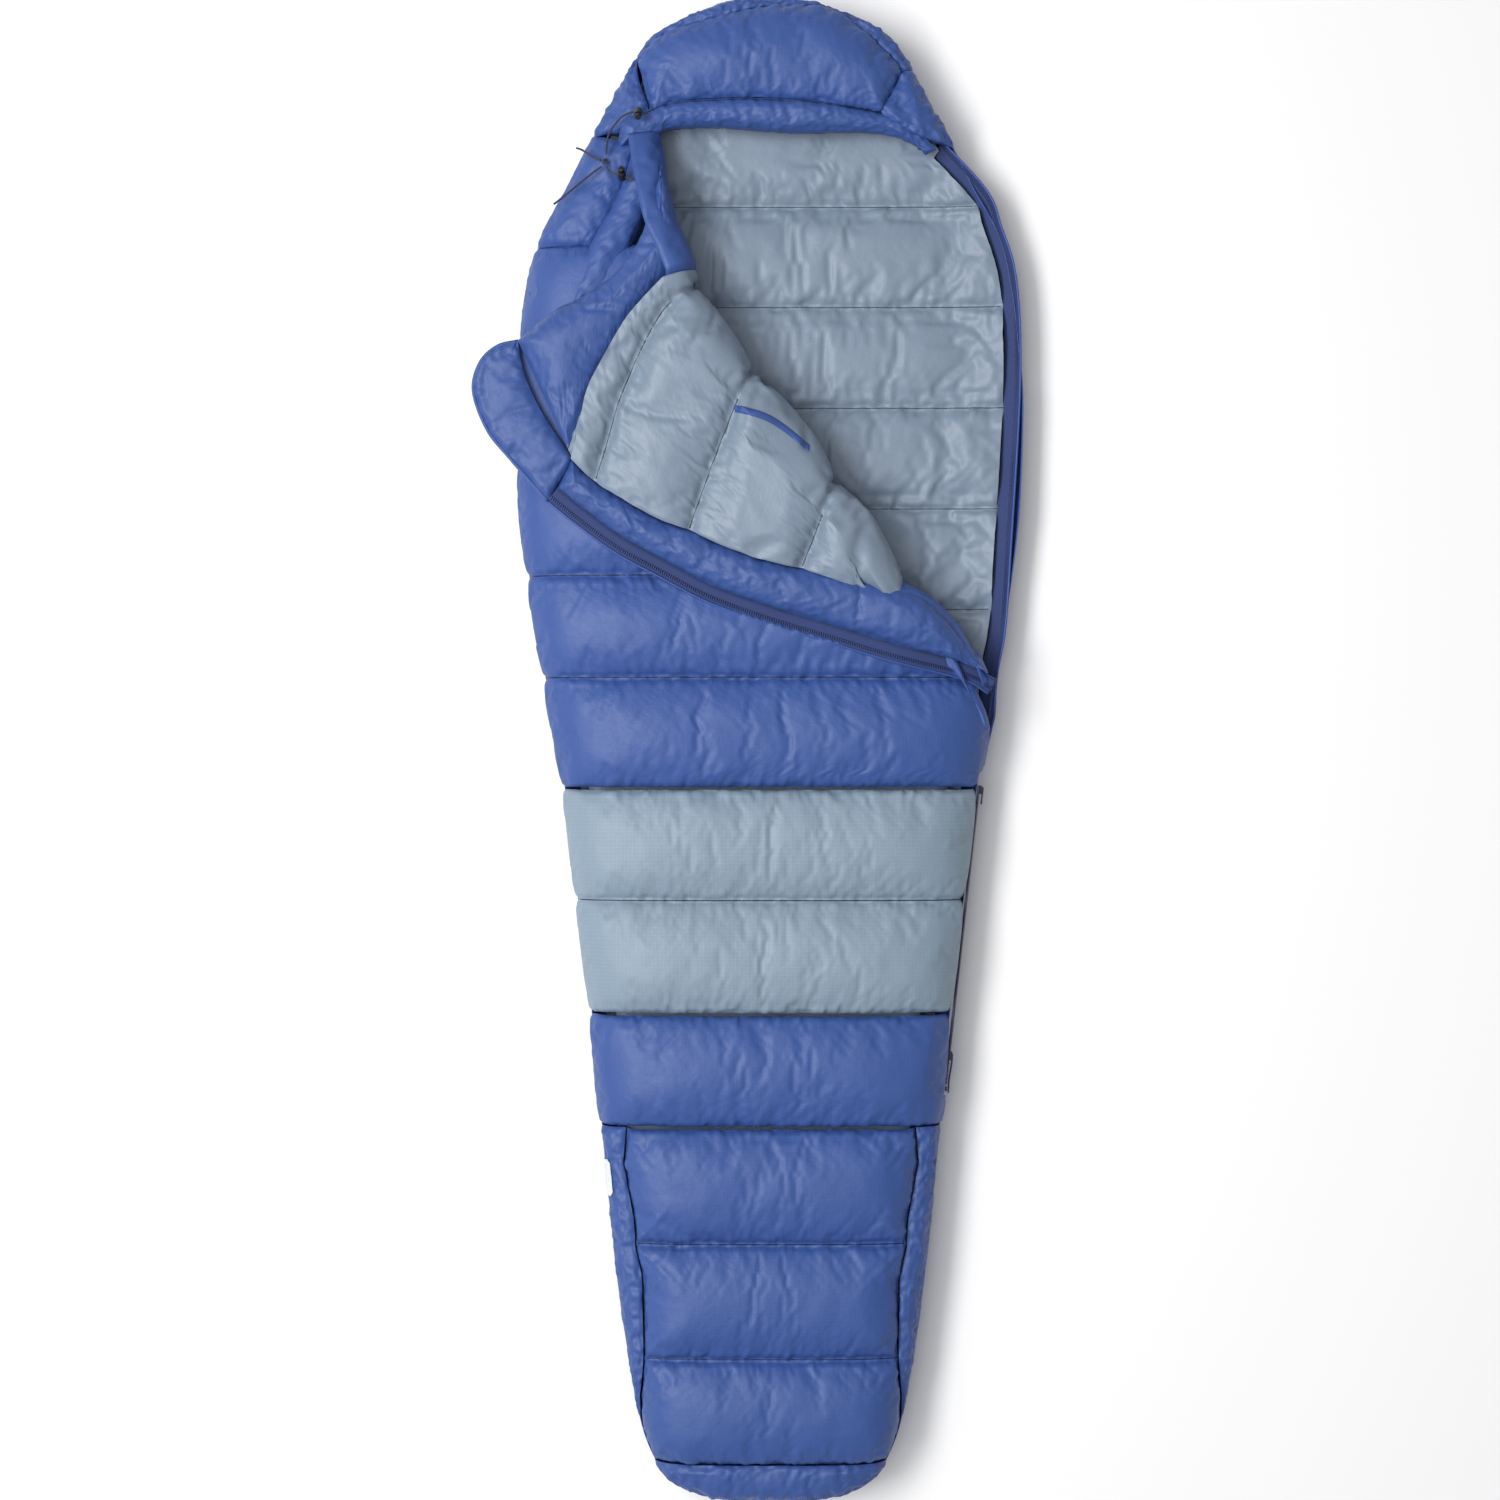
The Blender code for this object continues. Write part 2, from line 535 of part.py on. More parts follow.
# ---- turned-back flap -----------------------------------------------------------------
def build_flap():
    """The turned-back part of the front, lying lining side up on its own front."""
    base = FLAP_BASE
    lines = QUILT_LINES + [COLLAR_SEAM]
    skin_rows, skin_heights = [], []
    for number, (low, high) in enumerate(zip(lines, lines[1:]), start=1):
        rows = keep_left(flap_chamber_rows(low, high, 5, 9))
        loft = FLAP_LOFT * (0.7 if number == 1 else 1.0)

        def top(u, v, point, loft=loft):
            side = 0.55 + 0.45 * math.sin(math.pi * min(0.22 + 0.70 * u, 1.0)) ** 0.6
            return base + 0.002 + (loft - 0.002) * side * quilt_swell(v, 0.55)
        pad(f"flap_wadding_{number}", rows, base, top, "wadding")
        for i, row in enumerate(rows):
            skin_rows.append(row)
            skin_heights.append([top(j / 8, i / 4, p) for j, p in enumerate(row)])
    last = len(skin_rows) - 1

    def lie(extra):
        return lambda u, v, p: skin_heights[round(v * last)][round(u * 8)] + extra
    pad("flap_liner", skin_rows, lie(LINER_LIFT), lie(LINER_LIFT + SKIN), "liner_grey")

    shell = between(FOLD[1:] + [NECK_EDGE[1]], ZIP_EDGE[1:] + [CORNER[3]], 14, 6)
    pad("flap_shell", keep_left(shell), FOLD_Z + GAP, FOLD_Z + GAP + SKIN, "shell_blue")

    quilt_end = spread(QUILT_END, 22)
    zip_edge = spread(ZIP_EDGE, 22)
    draft_rows, tape_rows = [], []
    for a, b in zip(quilt_end, zip_edge):
        run = (b - a).normalized()
        wide = (b - a).length
        start = a + run * 0.0030
        stop = b - run * min(TAPE + 0.0045, wide * 0.5)
        draft_rows.append([start.lerp(stop, j / 4) for j in range(5)])
        tape_rows.append([stop + run * 0.0006, b])
    pad("zip_draft_tube", keep_left(draft_rows), base,
        lambda u, v, p: base + 0.004 + 0.024 * math.sin(math.pi * (0.06 + 0.88 * u)) ** 0.7 * (
            0.35 + 0.65 * min(v / 0.15, 1.0)), "shell_blue")
    pad("flap_zip_tape", keep_left(tape_rows), base, base + 0.0010, "lining_navy")

    collar_seam = [Vector(p) for p in spread(COLLAR_SEAM, 12)]
    neck = spread(NECK_EDGE, 12)
    away = [(b - a).normalized() for a, b in zip(collar_seam, neck)]
    channel_rows = keep_left([[a + d * 0.0012, a + d * 0.0120] for a, d in zip(collar_seam, away)])
    pad("collar_channel", channel_rows, base, base + 0.020, "liner_grey")
    collar_rows = keep_left([[(a + d * 0.0126).lerp(b, j / 5) for j in range(6)]
                             for a, b, d in zip(collar_seam, neck, away)])
    pad("draft_collar", collar_rows, base,
        lambda u, v, p: base + 0.005 + 0.036 * math.sin(math.pi * (0.1 + 0.8 * u)) ** 0.6 * (
            0.85 - 0.35 * v), "shell_blue")

    corner_rows = []
    inner = [(-0.3565, 0.5560), (-0.346, 0.515), (-0.326, 0.470), (-0.305, 0.433), (-0.279, 0.397)]
    outer = [(-0.374, 0.552), (-0.3975, 0.530), (-0.407, 0.491), (-0.388, 0.438), (-0.357, 0.399),
             (-0.312, 0.347)]
    for a, b in zip(spread(inner, 10), spread(outer, 10)):
        corner_rows.append([a.lerp(b, j / 3) for j in range(4)])
    pad("flap_corner_hem", corner_rows, base,
        lambda u, v, p: base + 0.003 + 0.008 * math.sin(math.pi * (0.1 + 0.8 * u)), "liner_grey")


def build_pocket():
    """An inside pocket on the flap's lining, with a bound mouth."""
    mouth = [(-0.046, 0.4545), (0.001, 0.440), (0.047, 0.408)]
    hem = [(-0.062, 0.398), (-0.012, 0.382), (0.034, 0.350)]
    high = FLAP_BASE + FLAP_LOFT + 0.0020
    rows = between(mouth, hem, 7, 4)
    pad("pocket_bag", rows, high, high + 0.0008, "liner_grey")
    bind = between([(x + 0.0022, y + 0.0076) for x, y in mouth],
                   [(x + 0.0002, y + 0.0006) for x, y in mouth], 7, 2)
    pad("pocket_binding", bind, high, high + 0.0016, "shell_blue")


# ---- zip ------------------------------------------------------------------------------
def build_zip():
    """The back tape, the closed chain down the right side and its bottom stop."""
    edge = [Vector(p) for p in BACK_TAPE]
    lie = BACK_TOP + 0.0016

    def offset(amount):
        out = []
        for i, p in enumerate(edge):
            run = (edge[min(i + 1, len(edge) - 1)] - edge[max(i - 1, 0)]).normalized()
            out.append(p + Vector((run.y, -run.x)) * amount)
        return out
    rows = [[a, b] for a, b in zip(spread(offset(0.0), 18), spread(offset(TAPE), 18))]
    pad("back_zip_tape", rows, lie, lie + 0.001, "lining_navy")

    half = CHAIN / 2
    extrude_along("closed_zip_chain", [(0, -half), (0.0022, -half), (0.0022, half), (0, half)],
                  ZIP_TOP, ZIP_DIR, ZIP_CLOSED, "black_plastic")
    stop_at = ZIP_TOP + ZIP_DIR * (ZIP_CLOSED + 0.001)
    extrude_along("zip_bottom_stop", [(-0.001, -half - 0.001), (0.0034, -half - 0.001),
                                      (0.0034, half + 0.001), (-0.001, half + 0.001)],
                  stop_at, ZIP_DIR, 0.006, "black_plastic")


def build_slider(name, along, pull_name, pull_length, pull_width, pull_colour):
    """A slider gripping the chain from outside, with a pull hinged on its face."""
    half = CHAIN / 2
    centre = ZIP_TOP + ZIP_DIR * along
    lip, wall, reach = 0.0008, 0.0016, 0.0005
    section = [(reach, -half - lip), (0.0028, -half - lip), (0.0028, half + lip),
               (reach, half + lip), (reach, half + lip + wall), (0.0050, half + lip + wall),
               (0.0050, -half - lip - wall), (reach, -half - lip - wall)]
    start = centre - ZIP_DIR * (SLIDER_LENGTH / 2)
    joint = empty_at(f"axis_{name}", centre)
    hang_on(extrude_along(name, section, start, ZIP_DIR, SLIDER_LENGTH, "black_plastic"), joint)
    root = start + ZIP_DIR * 0.002
    swing = empty_at(f"axis_{pull_name}", root + Vector((0.0072, 0, 0)))
    tab = [(0.0056, -pull_width / 2), (0.0076, -pull_width / 2), (0.0076, pull_width / 2),
           (0.0056, pull_width / 2)]
    hang_on(extrude_along(pull_name, tab, root, ZIP_DIR, pull_length, pull_colour), swing)


# ---- drawcords ------------------------------------------------------------------------
def build_lock(name, route, place, axis):
    """A barrel cord lock on its cord: a body with a cord hole, and a spring button."""
    radius = BARREL / 2
    on_cord = Vector(route[place])
    cord_axis = (Vector(route[place + 1]) - Vector(route[place - 1])).normalized()
    axis = Vector(axis)
    axis = (axis - cord_axis * axis.dot(cord_axis)).normalized()
    centre = on_cord + axis * HOLE_BELOW
    joint = empty_at(f"axis_{name}", centre)
    body = lathe(name, [(0, -0.008), (radius * 0.8, -0.008), (radius, -0.006), (radius, 0.005),
                        (radius * 0.85, 0.0065), (0.0036, 0.0065), (0.0036, 0.0030), (0, 0.0030)],
                 centre, axis, "black_plastic")
    cut_through(body, on_cord, cord_axis, CORD / 2 + CORD_SLACK, 0.030)
    hang_on(body, joint)
    button = lathe(f"{name}_button",
                   [(0, 0.0068), (0.0032, 0.0068), (0.0032, 0.0105), (0.0044, 0.0105),
                    (0.0044, 0.0128), (0.0036, 0.0138), (0, 0.0138)], centre, axis,
                   "black_plastic")
    hang_on(button, joint)


def build_cords():
    """The drawcords with their knot."""
    tube("hood_drawcord", HOOD_CORD, CORD, "cord_dark", 24)
    tube("drawcord_tail", TAIL_CORD, CORD, "cord_dark", 16)
    tube("collar_drawcord", COLLAR_CORD, CORD, "cord_dark", 18)
    tube("drawcord_loop", LOOP_CORD, CORD, "cord_dark", 24)
    lathe("drawcord_knot", [(0, -0.0052), (0.0035, -0.0044), (0.0050, -0.0015), (0.0050, 0.0015),
                            (0.0035, 0.0044), (0, 0.0052)], KNOT_AT, (0.3, 0.9, 0.1), "cord_dark")


def build_label():
    """A plain label sewn into the left side seam."""
    rows = level_rows(*LABEL_ENDS, lambda y: -half_width(y) - LABEL_OFF - LABEL_THICK,
                      lambda y: -half_width(y) - LABEL_OFF, 2, 2)
    pad("side_label", rows, *LABEL_HEIGHTS, "label_white")


def main():
    for old in list(bpy.data.objects):
        bpy.data.objects.remove(old)
    build_back()
    build_side_walls()
    build_front()
    build_shoulder()
    build_hood()
    build_flap()
    build_pocket()
    build_zip()
    build_slider("main_slider", MAIN_SLIDER_AT, "main_slider_pull", PULL_LENGTH, PULL_WIDTH,
                 "black_plastic")
    build_slider("lower_slider", LOWER_SLIDER_AT, "lower_slider_tab", TAB_LENGTH, TAB_WIDTH,
                 "lining_navy")
    build_lock("hood_cord_lock", HOOD_CORD, HOOD_LOCK_PLACE, HOOD_LOCK_AXIS)
    build_lock("collar_cord_lock", COLLAR_CORD, COLLAR_LOCK_PLACE, COLLAR_LOCK_AXIS)
    build_cords()
    build_label()


main()
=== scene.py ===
"""Quilted mummy sleeping bag, unzipped from the hood, its front turned back like a lapel."""

import json
import math

import bmesh
import bpy
import numpy as np
from bpy.props import FloatProperty, FloatVectorProperty, IntProperty, PointerProperty
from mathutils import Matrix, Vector


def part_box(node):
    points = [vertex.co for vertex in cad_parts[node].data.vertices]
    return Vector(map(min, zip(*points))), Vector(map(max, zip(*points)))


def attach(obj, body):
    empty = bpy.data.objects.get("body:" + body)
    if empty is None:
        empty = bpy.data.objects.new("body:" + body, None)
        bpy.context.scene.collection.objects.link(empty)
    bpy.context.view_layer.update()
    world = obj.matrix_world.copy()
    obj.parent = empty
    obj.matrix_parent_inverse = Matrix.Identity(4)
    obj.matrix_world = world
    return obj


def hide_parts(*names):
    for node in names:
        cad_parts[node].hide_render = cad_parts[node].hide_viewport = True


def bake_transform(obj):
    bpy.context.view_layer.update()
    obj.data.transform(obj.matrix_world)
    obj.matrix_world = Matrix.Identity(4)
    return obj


bl_info = {
    "name": "Mummy Sleeping Bag",
    "version": (1, 0, 0),
    "blender": (4, 5, 0),
    "location": "View3D > Sidebar > Sleeping Bag",
    "description": "Builds a quilted mummy sleeping bag piece by piece around its fixed frame",
    "category": "Add Mesh",
}

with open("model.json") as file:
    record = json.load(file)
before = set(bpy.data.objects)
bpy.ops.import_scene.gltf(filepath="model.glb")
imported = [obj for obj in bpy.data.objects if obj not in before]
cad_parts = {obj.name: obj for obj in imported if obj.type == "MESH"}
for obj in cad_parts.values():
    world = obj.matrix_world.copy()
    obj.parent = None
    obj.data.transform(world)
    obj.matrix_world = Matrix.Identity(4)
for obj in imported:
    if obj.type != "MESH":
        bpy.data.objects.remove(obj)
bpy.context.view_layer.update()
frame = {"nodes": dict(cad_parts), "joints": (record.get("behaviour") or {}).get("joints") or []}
ROOT, FLAP = "sleeping_bag", "front_flap"

# ---- the bag's own shape, metres ------------------------------------------------------
SEAM_Z = 0.050          # height of the side seams, where back and front meet
FRONT_SEAM_Z = 0.101    # height of the front at its seams
FLAP_FLOOR = 0.1200     # underside of the turned-back flap
FOLD_REACH = 0.034      # how far the roll of the fold reaches beyond the flap's flat part
TOE_TURN = -0.955       # below this the bag rounds off to the toe
CROWN_TURN = 0.955      # above this the hood rounds off to the crown
FRONT_RISE = FRONT_SEAM_Z - SEAM_Z
FRONT_FLOOR = 0.0695    # underside of the padded front
HOOD_FLOOR = 0.0700     # underside of the padded hood, the shoulder and the fold
HEM_FLOOR = 0.045       # underside of the gussets and the toe
SIDE_FLOOR = 0.040      # underside of the hood's sides
PRESSED_ROOF = FLAP_FLOOR - 0.0050  # the front stays below this under the flap
PRESSED_KNEE = 0.014    # over how much height the flap presses the front down
SHELL_LEVEL = FLAP_FLOOR - 0.0036   # the flap's outer shell
CREASE_LEVELS = (0.1170, 0.1182)    # the shell's crease: its edge on the bag, and on the flap
TAPE = 0.018            # width of the zip tape beyond the coil
TAPE_WIDE = TAPE + 0.0045
PIPING = 0.0034         # diameter of the piping
CHANNEL = 0.014         # width of the collar's gathered channel
CLOTH = 0.0012          # fabric with its binding or facing
MESH_STEP = 0.0066      # spacing of the points that the cloth simulation moves
CORD = 0.003            # diameter of the drawcords
THREAD = 0.0016         # diameter of the sewing thread with its loops
DOWN = Vector((0, 0, -1))
CAST_FROM = 0.3         # height from which a point is dropped on to a piece

OUTLINE = [(-1.040, 0.045), (-1.030, 0.100), (-1.004, 0.147), (-0.959, 0.173), (-0.897, 0.188),
           (-0.806, 0.203), (-0.695, 0.2175), (-0.528, 0.234), (-0.372, 0.248), (-0.208, 0.268),
           (-0.049, 0.287), (0.111, 0.315), (0.243, 0.336), (0.347, 0.347), (0.486, 0.351),
           (0.563, 0.345), (0.639, 0.336), (0.713, 0.319), (0.778, 0.284), (0.841, 0.252),
           (0.912, 0.212), (0.959, 0.186), (0.992, 0.158), (1.022, 0.097), (1.040, 0.040)]
FRONT_SEAMS = [-0.9845, -0.838, -0.680, -0.520, -0.364, -0.207, -0.053, 0.100, 0.2405, 0.395,
               0.548, 0.697]
BACK_SEAMS = [0.758 - 0.1405 * k for k in range(13)]
GUSSET = [(-0.181, -0.985), (-0.181, -0.892), (-0.176, -0.840), (-0.178, -0.724),
          (-0.187, -0.687), (-0.189, -0.649), (-0.204, -0.5685), (-0.200, -0.521)]

FOLD = [(0.300, 0.030), (0.284, 0.072), (0.242, 0.163), (0.171, 0.243), (0.104, 0.334),
        (0.050, 0.409), (-0.031, 0.513), (-0.0945, 0.603), (-0.125, 0.681), (-0.1446, 0.716),
        (-0.154, 0.792)]
QUILT_END = [(0.284, 0.072), (0.250, 0.150), (0.214, 0.192), (0.178, 0.210), (0.099, 0.238),
             (0.040, 0.250), (-0.036, 0.270), (-0.114, 0.302), (-0.164, 0.321), (-0.207, 0.3475),
             (-0.242, 0.368), (-0.271, 0.3975)]
TUBE_TOP = [(0.303, 0.098), (0.274, 0.130), (0.244, 0.170), (0.208, 0.203), (0.170, 0.220),
            (0.099, 0.239), (0.040, 0.250), (-0.036, 0.270), (-0.114, 0.302), (-0.164, 0.321),
            (-0.207, 0.3475), (-0.242, 0.368), (-0.271, 0.3975)]
ZIP_EDGE = [(0.298, 0.078), (0.277, 0.092), (0.249, 0.1015), (0.165, 0.122), (0.082, 0.147),
            (-0.001, 0.172), (-0.085, 0.202), (-0.156, 0.239), (-0.213, 0.270), (-0.268, 0.310),
            (-0.306, 0.3405)]
COLLAR_SEAM = [(-0.117, 0.655), (-0.158, 0.615), (-0.181, 0.588), (-0.218, 0.532),
               (-0.2405, 0.4935), (-0.254, 0.450), (-0.271, 0.3975)]
NECK_EDGE = [(-0.150, 0.800), (-0.168, 0.723), (-0.204, 0.660), (-0.254, 0.621),
             (-0.297, 0.599), (-0.346, 0.559)]
CORNER = [(-0.346, 0.559), (-0.374, 0.552), (-0.3975, 0.530), (-0.407, 0.491),
          (-0.388, 0.438), (-0.357, 0.399), (-0.306, 0.3405)]
COLLAR_END = [(-0.346, 0.559), (-0.338, 0.515), (-0.318, 0.470), (-0.297, 0.435),
              (-0.271, 0.3975)]
QUILT_LINES = [[(0.183, 0.228), (0.178, 0.210)],
               [(0.083, 0.362), (0.067, 0.314), (0.042, 0.250)],
               [(-0.031, 0.513), (-0.053, 0.459), (-0.078, 0.395), (-0.112, 0.302)],
               [(-0.105, 0.632), (-0.1515, 0.591), (-0.200, 0.4935), (-0.225, 0.414),
                (-0.240, 0.366)]]
POCKET_MOUTH = [(-0.050, 0.459), (0.001, 0.442), (0.051, 0.406)]

CROWN_SEAM = [(-0.186, 0.958), (-0.133, 0.994), (-0.064, 1.013), (-0.004, 1.027),
              (0.075, 1.025), (0.118, 0.999), (0.165, 0.958), (0.181, 0.938)]
BRIM_SEAM = [(-0.205, 0.868), (-0.178, 0.877), (-0.1265, 0.894), (0.022, 0.897),
             (0.154, 0.880), (0.192, 0.865), (0.229, 0.830)]
BRIM_EDGE = [(-0.213, 0.830), (-0.164, 0.844), (-0.146, 0.856), (-0.074, 0.859),
             (0.032, 0.852), (0.139, 0.8535), (0.192, 0.843), (0.214, 0.824)]
BACK_TAPE = [(0.287, -0.020), (0.292, 0.097), (0.304, 0.168), (0.311, 0.264), (0.325, 0.510),
             (0.320, 0.649), (0.299, 0.723), (0.282, 0.766), (0.224, 0.830)]


class SleepingBagSizes(bpy.types.PropertyGroup):
    """Sizes of the bag that a user would change."""

    front_loft: FloatProperty(
        name="Front loft", description="How far a front chamber stands above its seams",
        default=0.022, min=0.0, max=0.05, unit="LENGTH")
    back_loft: FloatProperty(
        name="Back loft", description="How far a back chamber stands above its seams",
        default=0.011, min=0.0, max=0.05, unit="LENGTH")
    flap_loft: FloatProperty(
        name="Flap loft", description="How far a chamber of the flap stands above its seams",
        default=0.016, min=0.0, max=0.05, unit="LENGTH")
    pucker: FloatProperty(
        name="Seam pucker", description="Depth of the gathers along a stitched seam",
        default=0.0026, min=0.0, max=0.01, unit="LENGTH")
    crumple: FloatProperty(
        name="Crumple", description="Depth of the soft wrinkles over a chamber",
        default=0.0011, min=0.0, max=0.01, unit="LENGTH")
    cord_width: FloatProperty(
        name="Cord width", description="Diameter of the drawcords",
        default=CORD, min=0.001, max=0.01, unit="LENGTH")
    cloth_frames: IntProperty(
        name="Cloth frames", description="Steps that each panel's cloth settles for",
        default=14, min=1, max=60)


def colour_property(name, code, description):
    """A colour that a user would change, from its sRGB hex code."""
    return FloatVectorProperty(name=name, description=description, subtype="COLOR", size=3,
                               default=linear(code)[:3], min=0.0, max=1.0)


def linear(code):
    """An sRGB hex colour as linear red, green, blue and alpha."""
    parts = [int(code[k:k + 2], 16) / 255 for k in (1, 3, 5)]
    return tuple(c / 12.92 if c <= 0.04045 else ((c + 0.055) / 1.055) ** 2.4
                 for c in parts) + (1.0,)


class SleepingBagColours(bpy.types.PropertyGroup):
    """Colours of the bag's fabrics."""

    shell_blue: colour_property("Shell blue", "#34508F", "Outer taffeta of the chest and foot")
    shell_grey: colour_property("Shell grey", "#7E90A0", "Outer taffeta of the middle")
    lining: colour_property("Lining", "#79889A", "Inner lining")
    navy: colour_property("Navy tape", "#26376B", "Zip tapes and pull tab")
    piping: colour_property("Piping", "#2E4C90", "Piping beside the zip")


def sizes():
    """The sizes in use."""
    return bpy.context.scene.sleeping_bag_sizes


def colours():
    """The colours in use."""
    return bpy.context.scene.sleeping_bag_colours


# ---- curves and noise -----------------------------------------------------------------
def curve(points, count):
    """count points evenly spaced along the smooth curve through the given ones."""
    pts = np.array(points, float)
    ends = np.vstack([2 * pts[0] - pts[1], pts, 2 * pts[-1] - pts[-2]])
    t = np.linspace(0, 1, 24, endpoint=False)[:, None]
    dense = []
    for p0, p1, p2, p3 in zip(ends, ends[1:], ends[2:], ends[3:]):
        dense.append(0.5 * (2 * p1 + (p2 - p0) * t + (2 * p0 - 5 * p1 + 4 * p2 - p3) * t ** 2
                            + (3 * p1 - p0 - 3 * p2 + p3) * t ** 3))
    dense = np.vstack(dense + [pts[-1:]])
    run = distances(dense)
    want = np.linspace(0, run[-1], count)
    return np.stack([np.interp(want, run, dense[:, k]) for k in range(pts.shape[1])], axis=1)


def distances(points):
    """How far along a line through points each of them is."""
    return np.concatenate([[0], np.cumsum(np.linalg.norm(np.diff(points, axis=0), axis=1))])


def length_of(points):
    """Length of a line through points."""
    return float(np.linalg.norm(np.diff(np.asarray(points, float), axis=0), axis=1).sum())


def left_of(line):
    """Unit directions to the left of a line in plan."""
    step = np.gradient(line, axis=0)
    left = np.stack([-step[:, 1], step[:, 0]], axis=1)
    return left / np.linalg.norm(left, axis=1, keepdims=True)


def level_seams(places):
    """Stitched lines straight across the bag at places along it."""
    return [[(-0.4, y), (0.0, y), (0.4, y)] for y in places]


OUTLINE_LINE = curve(OUTLINE, 400)


def half_width(y):
    """Half the bag's width at a place along it."""
    return np.interp(y, OUTLINE_LINE[:, 0], OUTLINE_LINE[:, 1])


def lattice(ix, iy, seed):
    """A steady random value from 0 to 1 at each whole-number place."""
    spin = np.sin(ix * 127.1 + iy * 311.7 + seed * 74.7) * 43758.5453
    return spin - np.floor(spin)


def noise(x, y, seed):
    """Smooth noise from -1 to 1 over a plane, one swell to a unit."""
    ix, iy = np.floor(x), np.floor(y)
    fx, fy = x - ix, y - iy
    fx, fy = fx * fx * (3 - 2 * fx), fy * fy * (3 - 2 * fy)
    low = lattice(ix, iy, seed) * (1 - fx) + lattice(ix + 1, iy, seed) * fx
    high = lattice(ix, iy + 1, seed) * (1 - fx) + lattice(ix + 1, iy + 1, seed) * fx
    return 2 * (low * (1 - fy) + high * fy) - 1


def seam_field(points, seams):
    """For each point, its distance in plan to the nearest seam, the place along that seam,
    and which side of it the point is on."""
    flat = points[..., :2].reshape(-1, 2)
    best = np.full(len(flat), 1e3)
    along = np.zeros(len(flat))
    side = np.zeros(len(flat))
    for number, seam in enumerate(seams):
        line = curve(seam, 30)[:, :2]
        run = 0.37 * number
        for a, b in zip(line, line[1:]):
            step = b - a
            size = float(np.linalg.norm(step)) or 1e-9
            t = np.clip((flat - a) @ step / size ** 2, 0, 1)
            off = flat - (a + t[:, None] * step)
            gap = np.linalg.norm(off, axis=1)
            near = gap < best
            best = np.where(near, gap, best)
            along = np.where(near, run + t * size, along)
            side = np.where(near, np.sign(step[0] * off[:, 1] - step[1] * off[:, 0]), side)
            run += size
    shape = points.shape[:2]
    return best.reshape(shape), along.reshape(shape), side.reshape(shape)


# ---- sheets of points -----------------------------------------------------------------
def normals(grid):
    """Unit normals of a grid of points, up where the rows run along +Y and columns along +X."""
    across = np.gradient(grid, axis=1)
    along = np.gradient(grid, axis=0)
    out = np.cross(across, along)
    return out / np.maximum(np.linalg.norm(out, axis=2, keepdims=True), 1e-9)


def finer(grid):
    """The same smooth sheet with a point added between every two."""
    for axis in (0, 1):
        g = np.moveaxis(grid, axis, 0)
        padded = np.concatenate([2 * g[:1] - g[1:2], g, 2 * g[-1:] - g[-2:-1]])
        middle = (9 * (padded[1:-2] + padded[2:-1]) - padded[:-3] - padded[3:]) / 16
        out = np.empty((2 * len(g) - 1,) + g.shape[1:])
        out[0::2], out[1::2] = g, middle
        grid = np.moveaxis(out, 0, axis)
    return grid


def sheet_mesh(grid):
    """The points of a grid in one list, and the quads over them."""
    rows, cols = grid.shape[:2]
    k = np.arange(rows * cols).reshape(rows, cols)
    quads = np.stack([k[:-1, :-1], k[:-1, 1:], k[1:, 1:], k[1:, :-1]], axis=-1).reshape(-1, 4)
    return grid.reshape(-1, 3), quads


def cloth_lengths(grid):
    """Distance along the cloth across and along each point of a grid."""
    across = np.linalg.norm(np.diff(grid, axis=1), axis=2)
    along = np.linalg.norm(np.diff(grid, axis=0), axis=2)
    u = np.concatenate([np.zeros((len(grid), 1)), np.cumsum(across, axis=1)], axis=1)
    v = np.concatenate([np.zeros((1, grid.shape[1])), np.cumsum(along, axis=0)], axis=0)
    u = u - u[:, [u.shape[1] // 2]]
    v = np.repeat(v.mean(axis=1, keepdims=True), grid.shape[1], axis=1)
    return u, v


def settle(grid, held, pressure, slack, cap):
    """Let a sheet of cloth swell and wrinkle between its held points, in Blender's Cloth."""
    points, quads = sheet_mesh(grid)
    mesh = bpy.data.meshes.new("settling_cloth")
    mesh.from_pydata(points.tolist(), [], quads.tolist())
    cloth = bpy.data.objects.new("settling_cloth", mesh)
    bpy.context.scene.collection.objects.link(cloth)
    pins = cloth.vertex_groups.new(name="held")
    weight = np.asarray(held, float).reshape(-1)
    for level in (0.35, 1.0):
        chosen = np.nonzero((weight >= level) & (weight < level + 0.6))[0]
        pins.add(chosen.tolist(), level, "REPLACE")
    solver = cloth.modifiers.new("cloth", "CLOTH")
    solver.settings.vertex_group_mass = "held"
    solver.settings.quality = 4
    solver.settings.mass = 0.1
    solver.settings.tension_stiffness = 18
    solver.settings.compression_stiffness = 18
    solver.settings.shear_stiffness = 8
    solver.settings.bending_stiffness = 0.08
    solver.settings.use_pressure = True
    solver.settings.uniform_pressure_force = pressure
    solver.settings.shrink_min = -slack
    solver.settings.effector_weights.gravity = 0
    for step in range(1, sizes().cloth_frames + 1):
        bpy.context.scene.frame_set(step)
    shaped = cloth.evaluated_get(bpy.context.evaluated_depsgraph_get()).to_mesh()
    moved = np.zeros(len(points) * 3)
    shaped.vertices.foreach_get("co", moved)
    bpy.context.scene.frame_set(1)
    bpy.data.objects.remove(cloth)
    move = moved.reshape(grid.shape) - grid
    size = np.linalg.norm(move, axis=2, keepdims=True)
    return grid + move * np.minimum(1.0, cap / np.maximum(size, 1e-9))


